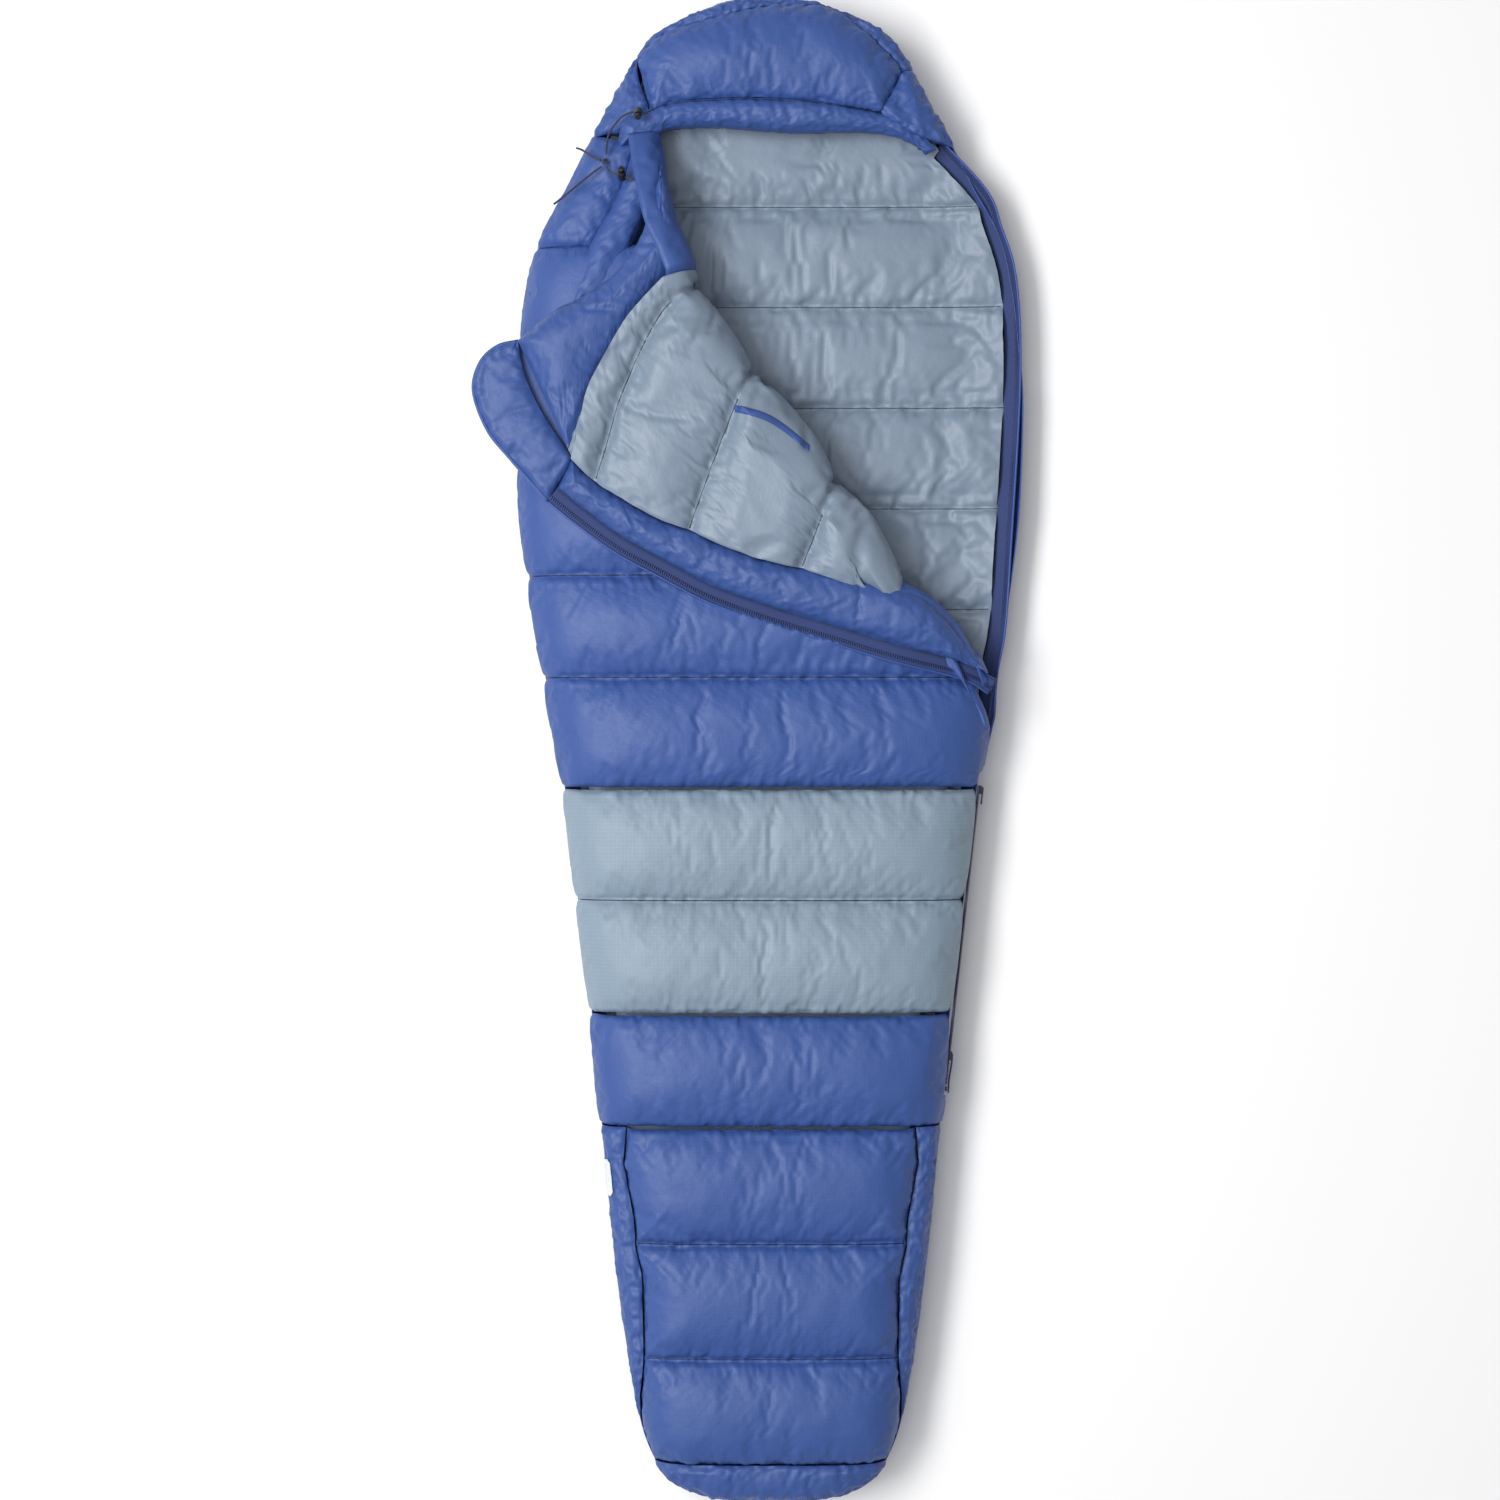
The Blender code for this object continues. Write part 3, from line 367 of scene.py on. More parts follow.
def quilt(grid, seams, loft, reach, seed, pressure=2.5, slack=0.020, cap=0.006, pucker=1.0,
          edges=True, fade=None):
    """Swell a sheet between its stitched seams, let it settle, and gather it at the seams.

    reach is how far from a seam the wadding is at its full loft, and fade scales the loft by
    place. edges says that the sheet is sewn along its own edges too.
    """
    lines = list(seams)
    if edges:
        lines += [grid[0], grid[-1], grid[:, 0], grid[:, -1]]
    gap = seam_field(grid, lines)[0]
    share = 1.0 if fade is None else fade(grid)
    swell = loft * share * (1 - (1 - np.clip(gap / reach, 0, 1)) ** 2.3) ** 0.62
    grid = grid + normals(grid) * swell[..., None]
    held = np.where(gap < 0.0045, 1.0, np.where(gap < 0.009, 0.35, 0.0))
    held[0, :] = held[-1, :] = held[:, 0] = held[:, -1] = 1.0
    grid = settle(grid, held, pressure, slack, cap)
    grid = finer(grid)
    gap, along, side = seam_field(grid, lines)
    share = 1.0 if fade is None else np.clip(fade(grid), 0.25, 1.0)
    depth = sizes().pucker * pucker
    slant = 0.35 * np.sin(along * 9 + seed)
    place = along + slant * gap
    gather = (noise(place / 0.0085, gap / 0.030 + side * 7, seed)
              + 0.6 * noise(place / 0.0046, gap / 0.016 + side * 5, seed + 3)
              + 0.5 * noise(place / 0.022, gap / 0.06 + side * 3, seed + 5))
    gather *= np.exp(-(gap / 0.017) ** 1.1) * np.clip(gap / 0.002, 0.25, 1) * depth
    u, v = cloth_lengths(grid)
    soft = (noise(u / 0.055 + v / 0.16, v / 0.060, seed + 11)
            + 0.55 * noise(u / 0.026 - v / 0.09, v / 0.034, seed + 13)
            + 0.30 * noise(u / 0.013, v / 0.016 + u / 0.05, seed + 17))
    soft *= sizes().crumple * np.clip(gap / 0.03, 0, 1) * share
    groove = 0.0028 * np.exp(-(gap / 0.0033) ** 2) if len(seams) else 0.0
    return grid + normals(grid) * (gather * share + soft - groove)[..., None]


def stitch(piece, seams, name, colour, slot, body):
    """Sewing thread along the seams of a quilted piece, lying on its surface."""
    verts, faces, spots = [], [], []
    for seam in seams:
        line = curve(seam, max(int(length_of(curve(seam, 30)) / 0.004), 4))[:, :2]
        run = []
        for x, y in line:
            hit, spot, _, _ = piece.ray_cast(Vector((x, y, CAST_FROM)), DOWN)
            if hit and spot.z > 0.03:
                run.append((x, y, spot.z + 0.0002))
            elif len(run) > 3:
                spots.append(run)
                run = []
        if len(run) > 3:
            spots.append(run)
    for run in spots:
        ring_verts, ring_faces, _ = tube_rings(run, THREAD, 5)
        faces += [[len(verts) + k for k in face] for face in ring_faces]
        verts += list(ring_verts)
    thread = add_object(name, verts, faces, finish(colour))
    turn_outwards(thread)
    return place_piece(thread, body, slot)


# ---- objects --------------------------------------------------------------------------
def add_object(name, verts, faces, finish, uvs=None, smooth=True):
    """A piece of the bag at the origin, with its place in its mesh."""
    mesh = bpy.data.meshes.new(name)
    mesh.from_pydata([tuple(v) for v in verts], [], faces)
    if uvs is not None:
        layer = mesh.uv_layers.new(name="cloth")
        spots = np.zeros(len(mesh.loops), int)
        mesh.loops.foreach_get("vertex_index", spots)
        layer.data.foreach_set("uv", np.asarray(uvs, float)[spots].reshape(-1))
    mesh.polygons.foreach_set("use_smooth", [smooth] * len(mesh.polygons))
    mesh.materials.append(finish)
    mesh.update()
    piece = bpy.data.objects.new(name, mesh)
    bpy.context.scene.collection.objects.link(piece)
    return piece


def rim_of(grid, inset):
    """The numbers of a grid's rim points, and each one's step in plan towards the middle."""
    rows, cols = grid.shape[:2]
    k = np.arange(rows * cols).reshape(rows, cols)
    ring = np.concatenate([k[0, :], k[1:, -1], k[-1, -2::-1], k[-2:0:-1, 0]])
    i, j = ring // cols, ring % cols
    deep_i = np.clip(i, min(4, (rows - 1) // 2), max(rows - 5, (rows - 1) // 2))
    deep_j = np.clip(j, min(4, (cols - 1) // 2), max(cols - 5, (cols - 1) // 2))
    step = grid[deep_i, deep_j] - grid[i, j]
    step[:, 2] = 0
    size = np.maximum(np.linalg.norm(step, axis=1, keepdims=True), 1e-6)
    return ring, step / size * np.minimum(inset, size)


def close_pad(name, grid, finish, floor, inset=0.006):
    """A padded piece: a shaped top sheet, closed by a sloping hem and a flat underside."""
    points, quads = sheet_mesh(grid)
    u, v = cloth_lengths(grid)
    ring, step = rim_of(grid, inset)
    under = points[ring] + step
    under[:, 2] = np.minimum(floor, points[ring][:, 2] - 0.0005)
    verts = np.vstack([points, under])
    first, count = len(points), len(ring)
    faces = quads.tolist()
    for i in range(count):
        j = (i + 1) % count
        faces.append([int(ring[j]), int(ring[i]), first + i, first + j])
    faces.append([first + i for i in range(count)][::-1])
    flat_uv = np.stack([u, v], axis=-1).reshape(-1, 2)
    uvs = np.vstack([flat_uv, flat_uv[ring] + 0.01])
    piece = add_object(name, verts, faces, finish, uvs)
    ends = np.zeros(len(piece.data.edges) * 2, int)
    piece.data.edges.foreach_get("vertices", ends)
    on_rim = np.isin(ends.reshape(-1, 2), ring).all(axis=1)
    piece.data.attributes.new("sharp_edge", "BOOLEAN", "EDGE").data.foreach_set("value", on_rim)
    return piece


def sheet_piece(name, grid, finish, thickness=CLOTH):
    """A piece of cloth with a real thickness below its shaped face."""
    points, quads = sheet_mesh(grid)
    u, v = cloth_lengths(grid)
    piece = add_object(name, points, quads.tolist(), finish,
                       np.stack([u, v], axis=-1).reshape(-1, 2))
    wall = piece.modifiers.new("thickness", "SOLIDIFY")
    wall.thickness = thickness
    wall.offset = -1.0
    apply_modifiers(piece)
    return piece


def apply_modifiers(piece):
    """Apply all modifiers of a piece."""
    bpy.ops.object.select_all(action="DESELECT")
    bpy.context.view_layer.objects.active = piece
    piece.select_set(True)
    for modifier in list(piece.modifiers):
        bpy.ops.object.modifier_apply(modifier=modifier.name)
    piece.select_set(False)


def curve_object(name, points, diameter, finish):
    """A round tube along points, as a curve."""
    line = bpy.data.curves.new(name, "CURVE")
    line.dimensions = "3D"
    line.bevel_depth = diameter / 2
    line.bevel_resolution = 3
    run = line.splines.new("POLY")
    run.points.add(len(points) - 1)
    for spot, place in zip(run.points, points):
        spot.co = (*place, 1.0)
    line.materials.append(finish)
    piece = bpy.data.objects.new(name, line)
    bpy.context.scene.collection.objects.link(piece)
    return piece


def padded_piece(name, grid, look, body, slot, fill, floor, inset, *nodes):
    """A padded piece on its body."""
    piece = close_pad(name, grid, finish(look), floor, inset)
    place_piece(piece, body, slot, *nodes)
    return piece


def place_piece(piece, body, slot, *nodes):
    """Ride a piece on its body, and hide the plain solids it stands for."""
    if nodes:
        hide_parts(*nodes)
    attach(piece, body)
    return piece


# ---- materials ------------------------------------------------------------------------
def add_node(tree, kind, inputs=None, **settings):
    """Add a node, set its settings and its inputs, and link the inputs that are sockets."""
    made = tree.nodes.new(kind)
    for key, value in settings.items():
        setattr(made, key, value)
    for key, value in (inputs or {}).items():
        if isinstance(value, bpy.types.NodeSocket):
            tree.links.new(value, made.inputs[key])
        else:
            made.inputs[key].default_value = value
    return made


def start_material(name):
    """An empty material with its Principled shader, linked to the output."""
    made = bpy.data.materials.new(name)
    made.use_nodes = True
    tree = made.node_tree
    tree.nodes.clear()
    shader = add_node(tree, "ShaderNodeBsdfPrincipled")
    add_node(tree, "ShaderNodeOutputMaterial", {"Surface": shader.outputs["BSDF"]})
    return made, tree, shader


def shade(rgb, factor):
    """A colour made lighter or darker."""
    return tuple(min(c * factor, 1.0) for c in rgb[:3]) + (1.0,)


def two_tones(tree, share, rgb, low, high):
    """A dye that varies between two shades of its colour."""
    return add_node(tree, "ShaderNodeMix", {0: share, 6: shade(rgb, low), 7: shade(rgb, high)},
                    data_type="RGBA").outputs[2]


def relief(tree, height, strength, distance, **settings):
    """A bump from a height pattern."""
    return add_node(tree, "ShaderNodeBump", {"Height": height, "Strength": strength,
                                             "Distance": distance}, **settings)


def taffeta(name, rgb, roughness=0.50, sheen=0.08, ripstop=0.0055, grid_tone=1.10):
    """Woven polyester taffeta: a fine ripstop grid, a faint sheen, and light crumpling.

    The threads are far finer than the picture shows, so the weave is drawn at ripstop scale.
    """
    made, tree, shader = start_material(name)
    place = add_node(tree, "ShaderNodeTexCoord").outputs["UV"]
    threads = []
    for turn in (0.0, math.pi / 2):
        turned = add_node(tree, "ShaderNodeMapping", {"Vector": place, "Rotation": (0, 0, turn)})
        wave = add_node(tree, "ShaderNodeTexWave",
                        {"Vector": turned.outputs["Vector"], "Scale": 0.314 / ripstop,
                         "Distortion": 0.3, "Detail": 0.0}, wave_profile="SIN")
        threads.append(wave.outputs["Fac"])
    grid = add_node(tree, "ShaderNodeMath", {0: threads[0], 1: threads[1]}, operation="MAXIMUM")
    line = add_node(tree, "ShaderNodeMapRange", {"Value": grid.outputs[0], "From Min": 0.93,
                                                 "From Max": 1.0})
    dye = add_node(tree, "ShaderNodeTexNoise", {"Vector": place, "Scale": 9.0, "Detail": 3.0})
    tone = two_tones(tree, dye.outputs["Fac"], rgb, 0.94, 1.06)
    weave = add_node(tree, "ShaderNodeMix", {0: line.outputs["Result"], 6: tone,
                                             7: shade(rgb, grid_tone)}, data_type="RGBA")
    tree.links.new(weave.outputs[2], shader.inputs["Base Color"])
    crease = add_node(tree, "ShaderNodeTexNoise", {"Vector": place, "Scale": 130.0,
                                                   "Detail": 4.0, "Distortion": 0.6})
    fine = add_node(tree, "ShaderNodeTexNoise", {"Vector": place, "Scale": 900.0, "Detail": 1.0})
    first = relief(tree, crease.outputs["Fac"], 0.22, 0.002)
    second = relief(tree, fine.outputs["Fac"], 0.12, 0.0005)
    tree.links.new(first.outputs["Normal"], second.inputs["Normal"])
    tree.links.new(second.outputs["Normal"], shader.inputs["Normal"])
    gloss = add_node(tree, "ShaderNodeMapRange", {"Value": crease.outputs["Fac"],
                                                  "To Min": roughness - 0.06,
                                                  "To Max": roughness + 0.08})
    tree.links.new(gloss.outputs["Result"], shader.inputs["Roughness"])
    shader.inputs["Sheen Weight"].default_value = sheen
    shader.inputs["Sheen Roughness"].default_value = 0.4
    shader.inputs["Sheen Tint"].default_value = shade(rgb, 1.6)
    shader.inputs["Specular IOR Level"].default_value = 0.45
    return made


def woven_tape(name, rgb, rib=0.0016):
    """Woven zip tape or tab: close ribs across the tape, matt, with painted highlight on the rib
    crests and painted shade between them.
    """
    made, tree, shader = start_material(name)
    place = add_node(tree, "ShaderNodeTexCoord").outputs["UV"]
    ribs = add_node(tree, "ShaderNodeTexWave", {"Vector": place, "Scale": 0.314 / rib,
                                                "Distortion": 1.0, "Detail": 1.0},
                    bands_direction="DIAGONAL")
    # painted light: the colour is lightened on the rib crests and darkened in the valleys between
    # ribs
    tone = two_tones(tree, ribs.outputs["Fac"], rgb, 0.8, 1.15)
    tree.links.new(tone, shader.inputs["Base Color"])
    bump = relief(tree, ribs.outputs["Fac"], 0.4, 0.0006)
    tree.links.new(bump.outputs["Normal"], shader.inputs["Normal"])
    shader.inputs["Roughness"].default_value = 0.78
    shader.inputs["Sheen Weight"].default_value = 0.3
    return made


def braided_cord(name, rgb, braid=0.0022):
    """Braided polyester cord: a cell for each strand that shows, with painted highlight on each
    strand's crown and painted shade in the gaps.
    """
    made, tree, shader = start_material(name)
    place = add_node(tree, "ShaderNodeTexCoord").outputs["Object"]
    strands = add_node(tree, "ShaderNodeTexVoronoi", {"Vector": place, "Scale": 1.0 / braid})
    # painted light: the colour is lightened on each strand's crown and darkened in the gaps
    # between strands
    tone = two_tones(tree, strands.outputs["Distance"], rgb, 1.3, 0.6)
    tree.links.new(tone, shader.inputs["Base Color"])
    bump = relief(tree, strands.outputs["Distance"], 0.5, 0.0006, invert=True)
    tree.links.new(bump.outputs["Normal"], shader.inputs["Normal"])
    shader.inputs["Roughness"].default_value = 0.8
    shader.inputs["Sheen Weight"].default_value = 0.2
    return made


def moulded_acetal(name, rgb):
    """Injection-moulded acetal, as of zip sliders and cord locks: fine spark-eroded grain."""
    made, tree, shader = start_material(name)
    place = add_node(tree, "ShaderNodeTexCoord").outputs["Object"]
    grain = add_node(tree, "ShaderNodeTexNoise", {"Vector": place, "Scale": 2200.0,
                                                  "Detail": 2.0})
    tone = two_tones(tree, grain.outputs["Fac"], rgb, 0.85, 1.2)
    tree.links.new(tone, shader.inputs["Base Color"])
    bump = relief(tree, grain.outputs["Fac"], 0.25, 0.0002)
    tree.links.new(bump.outputs["Normal"], shader.inputs["Normal"])
    shader.inputs["Roughness"].default_value = 0.42
    return made


FINISHES = {}


def finish(name):
    """The material of that name, made once."""
    if not FINISHES:
        c = colours()
        FINISHES.update({
            "shell_blue": taffeta("blue_ripstop_taffeta", c.shell_blue),
            "shell_grey": taffeta("grey_ripstop_taffeta", c.shell_grey),
            "lining": taffeta("grey_lining_taffeta", c.lining, roughness=0.44, grid_tone=1.0),
            "draft_blue": taffeta("blue_draft_taffeta", shade(c.shell_blue, 0.95)),
            # the thread colours are darker than the thread itself: they also carry painted shade
            # of the stitched seams' grooves
            "thread": moulded_acetal("dark_thread_and_seam_shade", linear("#121A36")),
            "grey_thread": moulded_acetal("grey_thread_and_seam_shade", linear("#3E4852")),
            "navy": woven_tape("navy_zip_tape", c.navy),
            "piping": taffeta("blue_piping_satin", c.piping, roughness=0.40, ripstop=0.003),
            "label": woven_tape("plain_woven_label", linear("#D9DCDF")),
            "cord": braided_cord("dark_braided_cord", linear("#2A3048")),
            "coil": moulded_acetal("navy_zip_coil", c.navy),
            "black": moulded_acetal("black_moulded_acetal", linear("#17181C")),
        })
    return FINISHES[name]


# ---- panels ---------------------------------------------------------------------------
def end_turn(y):
    """1 along the bag, rounding off to 0 at the toe and at the crown."""
    toe = np.clip((TOE_TURN - y) / (TOE_TURN + 1.043), 0, 1)
    crown = np.clip((y - CROWN_TURN) / (1.045 - CROWN_TURN), 0, 1)
    return np.sqrt(np.clip(1 - np.maximum(toe, crown) ** 2.4, 0.0, 1))


def top_height(x, y, rise):
    """Height of the bag's upper side above the floor, before it is quilted."""
    share = np.clip(np.abs(x) / half_width(y), 0, 1)
    return SEAM_Z + rise * end_turn(y) * (1 - share ** 4.5) ** 0.45


def even_row(x, y, z, count):
    """A row of points across the bag at one y, evenly spaced on the cloth."""
    run = np.concatenate([[0], np.cumsum(np.hypot(np.diff(x), np.diff(z)))])
    want = np.linspace(0, run[-1], count)
    return np.stack([np.interp(want, run, x), np.full(count, y), np.interp(want, run, z)], axis=1)


def section_rows(ys, left, right, count):
    """Rows across the bag's upper side from left(y) to right(y), evenly spaced on the cloth.

    Beside the closed zip they end a little short of the outline, clear of the sliders.
    """
    rows = []
    for y in ys:
        w = float(half_width(y))
        near_zip = 0.004 if -0.480 < y < -0.030 else 0.0
        x0, x1 = max(left(y), -w), min(right(y), w - near_zip)
        turn = np.linspace(math.asin(x0 / w), math.asin(x1 / w), 300)
        x = w * np.sin(turn)
        rows.append(even_row(x, y, top_height(x, y, FRONT_RISE), count))
    return np.array(rows)


def between(start_curve, end_curve, along, across, height):
    """Rows of points, each crossing from one plan curve to the other, at height(points)."""
    a, b = curve(start_curve, along), curve(end_curve, along)
    t = np.linspace(0, 1, across)[None, :, None]
    flat = a[:, None, :2] * (1 - t) + b[:, None, :2] * t
    level = height(flat, t[..., 0] + np.zeros(flat.shape[:2]))
    return np.concatenate([flat, np.asarray(level)[..., None]], axis=2)


def steps(length):
    """How many points a length of cloth takes."""
    return max(int(round(length / MESH_STEP)) + 1, 5)


def fold_x(y):
    """Where the front panel ends on the right: its side seam, or the fold."""
    line = curve(FOLD, 200)
    reach = np.interp(y, line[:, 1], line[:, 0])
    return np.where(y < line[0, 1], half_width(y), np.minimum(reach, half_width(y)))


def gusset_line(y):
    """How far the foot gusset's seam stands from the centre line."""
    line = np.array(GUSSET)
    seam = np.interp(y, line[:, 1], -line[:, 0])
    return np.where(y < -0.93, 1.0, seam)


def cross_seams(low, high):
    """The front's stitched lines between two places along the bag."""
    return level_seams([y for y in FRONT_SEAMS if low - 0.01 <= y <= high + 0.01])


def side_fade(points):
    """Less loft towards the side seams, where front and back are sewn together."""
    share = np.clip(np.abs(points[..., 0]) / half_width(points[..., 1]), 0, 1)
    return 0.25 + 0.75 * (1 - share ** 8)


def under_flap(points):
    """Where the turned-back flap lies over the front."""
    edge = curve(ZIP_EDGE, 80)[::-1]
    return points[..., 1] > np.interp(points[..., 0], edge[:, 0], edge[:, 1]) + 0.004


def pressed(height):
    """Heights of the front where the turned-back flap presses it down."""
    start = PRESSED_ROOF - PRESSED_KNEE
    over = np.maximum(height - start, 0)
    return np.minimum(height, start) + PRESSED_KNEE * np.tanh(over / PRESSED_KNEE)


def build_front_panels():
    """The front shell panels, quilted across, each with its wadding."""
    def far(_):
        return -1.0
    panels = [
        ("front_foot_panel", -0.9845, -0.520, lambda y: -gusset_line(y), gusset_line,
         "shell_blue", ["front_shell_foot", "front_wadding_01", "front_wadding_02",
                        "front_wadding_03"]),
        ("front_knee_panel", -0.520, -0.364, far, fold_x, "shell_blue", ["front_wadding_04"]),
        ("front_middle_panel", -0.364, -0.053, far, fold_x, "shell_grey",
         ["front_shell_grey", "front_wadding_05", "front_wadding_06"]),
        ("front_chest_panel", -0.053, 0.697, far, fold_x, "shell_blue",
         ["front_shell_chest", "front_wadding_07", "front_wadding_08", "front_wadding_09",
          "front_wadding_10"])]
    for number, (name, low, high, left, right, colour, nodes) in enumerate(panels):
        ys = np.linspace(low, high, steps(high - low))
        width = float(right(high) - max(left(high), -half_width(high))) + 0.06
        if name == "front_chest_panel":
            width = 0.66
        grid = section_rows(ys, lambda y: float(left(y)), lambda y: float(right(y)),
                            steps(width))
        grid = quilt(grid, cross_seams(low, high), sizes().front_loft, 0.070, 5 + number,
                     slack=0.014, fade=side_fade, edges=name == "front_foot_panel")
        grid[..., 2] = np.where(under_flap(grid), pressed(grid[..., 2]), grid[..., 2])
        piece = padded_piece(name, grid, colour, ROOT, colour, 0.5, FRONT_FLOOR, 0.004, *nodes)
        inner = cross_seams(low + 0.02, high - 0.02)
        if inner:
            stitch(piece, inner, name + "_thread", "thread", "lining_navy", ROOT)
    for side, name in ((-1, "left_foot_gusset"), (1, "right_foot_gusset")):
        ys = np.linspace(-0.925, -0.520, steps(0.405))
        if side < 0:
            grid = section_rows(ys, far, lambda y: -float(gusset_line(y)), 14)
        else:
            grid = section_rows(ys, lambda y: float(gusset_line(y)), lambda y: 1.0, 14)
        grid = quilt(grid, [], sizes().front_loft * 0.35, 0.03, 31 + side, cap=0.004)
        padded_piece(name + "_panel", grid, "shell_blue", ROOT, "shell_blue", 0.4, HEM_FLOOR,
                     0.003, name)


def build_toe():
    """The end of the foot box, closing the bag below the lowest front seam."""
    ys = np.linspace(-1.0395, -0.9845, 14)
    grid = section_rows(ys, lambda y: -1.0, lambda y: 1.0, 56)
    grid = quilt(grid, [], sizes().front_loft * 0.5, 0.04, 41, cap=0.004)
    padded_piece("footbox_end_panel", grid, "shell_blue", ROOT, "shell_blue", 0.5, HEM_FLOOR,
                 0.003, "footbox_end")


def build_back():
    """The back: an outer shell that wraps up to the side seams, and the lining on top."""
    ys = np.linspace(-1.0395, 1.0395, 250)
    rows = []
    for y in ys:
        w = float(half_width(y))
        turn = np.linspace(-math.pi / 2, math.pi / 2, 300)
        x = w * np.sin(turn)
        drop = SEAM_Z * end_turn(y) * (1 - (np.abs(x) / w) ** 5) ** 0.42
        rows.append(even_row(x, y, SEAM_Z - drop + 0.0015, 96))
    outer = np.array(rows)[:, ::-1]
    gap = seam_field(outer, [[(-0.4, y), (0.4, y)] for y in BACK_SEAMS])[0]
    outer[..., 2] += 0.0035 * np.exp(-gap / 0.010)
    outer[..., 2] = np.maximum(outer[..., 2], 0.0)
    shell = sheet_piece("back_shell_panel", outer, finish("shell_blue"))
    place_piece(shell, ROOT, "shell_blue", "back_shell", "back_wadding", "left_side_wall",
                "right_side_wall")

    tape = curve(BACK_TAPE, 200)
    ys = np.linspace(-0.985, 0.985, 235)
    rows = []
    for y in ys:
        w = float(half_width(y)) - 0.020
        right = float(np.interp(y, tape[:, 1], tape[:, 0])) if 0.0 < y < 0.83 else w
        blend = min(max((y + 0.02) / 0.06, 0.0), 1.0) if y < 0.5 else 1.0
        right = w * (1 - blend) + right * blend if -0.02 < y < 0.83 else w
        x = np.linspace(-w, right, 84)
        share = np.abs(x) / (w + 0.020)
        rows.append(np.stack([x, np.full(84, y), 0.033 + 0.016 * share ** 7], axis=1))
    seams = level_seams(BACK_SEAMS)
    lining = quilt(np.array(rows), seams, sizes().back_loft, 0.060, 3, pressure=1.2,
                   slack=0.028, cap=0.007, pucker=1.25, edges=False)
    piece = close_pad("back_lining_pad", lining, finish("lining"), 0.012, inset=0.010)
    place_piece(piece, ROOT, "liner_grey", "back_liner")
    stitch(piece, seams, "back_lining_thread", "grey_thread", "liner_grey", ROOT)


def build_front_lining():
    """The lining under the front, seen only through the open side."""
    ys = np.linspace(-0.97, 0.69, 60)
    rows = [np.stack([np.linspace(-float(half_width(y)) + 0.035,
                                  min(float(fold_x(y)), float(half_width(y)) - 0.03) - 0.012, 30),
                      np.full(30, y), np.full(30, 0.0690)], axis=1) for y in ys]
    grid = np.array(rows)[:, ::-1]
    piece = sheet_piece("front_lining_sheet", grid, finish("lining"))
    place_piece(piece, ROOT, "liner_grey", "front_liner")


# ---- flap -----------------------------------------------------------------------------
def flap_height(points, fold_share):
    """Height of the flap's lining at its seams: low at the draft tube, higher at the fold."""
    tail = np.clip((0.235 - points[..., 0]) / 0.14, 0.0, 1.0)
    return FLAP_FLOOR + 0.004 + tail * (0.010 + 0.016 * np.clip(fold_share, 0, 1) ** 0.8)


def foot_drop(points):
    """How far the flap's zip edge sinks towards the fold's foot, to lie on the front there."""
    return 0.022 * np.clip((points[..., 0] - 0.17) / 0.13, 0, 1) ** 1.4


def fold_inner(inset):
    """The fold's curve, moved left by an inset that fades at its foot."""
    line = curve(FOLD, 80)
    left = left_of(line)
    reach = inset * np.clip(np.linspace(0, 1, 80) / 0.16, 0.12, 1.0)
    return line + left * reach[:, None]


def flap_rows(count_along, across, inset):
    """Rows of the flap's lining from its foot to the collar seam, following the quilting."""
    lines = [[FOLD[0], QUILT_END[0]]] + QUILT_LINES + [COLLAR_SEAM]
    fold, end = fold_inner(inset), curve(QUILT_END, 161)
    at_fold, at_end = [], []
    for line in lines:
        at_fold.append(float(np.argmin(np.linalg.norm(fold - np.array(line[0]), axis=1))))
        at_end.append(float(np.argmin(np.linalg.norm(end - np.array(line[-1]), axis=1))))
    at_fold[0] = at_end[0] = 0.0
    at_end[-1] = 160.0
    shapes = [curve(line, across) for line in lines]
    spans = [np.linalg.norm(b[across // 2] - a[across // 2]) for a, b in zip(shapes, shapes[1:])]
    marks = np.concatenate([[0], np.cumsum(spans)]) / sum(spans)
    t = np.linspace(0, 1, across)[:, None]
    rows = []
    for place in np.linspace(0, 1, count_along):
        k = min(int(np.searchsorted(marks, place, side="right")) - 1, len(spans) - 1)
        f = (place - marks[k]) / (marks[k + 1] - marks[k])
        row = shapes[k] * (1 - f) + shapes[k + 1] * f
        i, j = (np.interp(place, marks, spot) for spot in (at_fold, at_end))
        start = np.array([np.interp(i, np.arange(len(fold)), fold[:, n]) for n in (0, 1)])
        stop = np.array([np.interp(j, np.arange(len(end)), end[:, n]) for n in (0, 1)])
        rows.append(row + (start - row[0]) * (1 - t) + (stop - row[-1]) * t)
    return np.array(rows)


def fold_around(inner, left, reach, top, foot=HOOD_FLOOR, count=15):
    """Rows of points that go from a flap's top, round its fold, and in under it."""
    turn = np.linspace(math.pi / 2, -math.pi / 2, count)
    out = np.cos(turn) ** 0.75
    rows = []
    for p, side, deep, high in zip(inner, left, reach, top):
        flat = p[None] - side[None] * (deep * out)[:, None]
        level = (high + foot) / 2 + (high - foot) / 2 * np.sin(turn)
        rows.append(np.concatenate([flat, level[:, None]], axis=1))
    return np.array(rows)


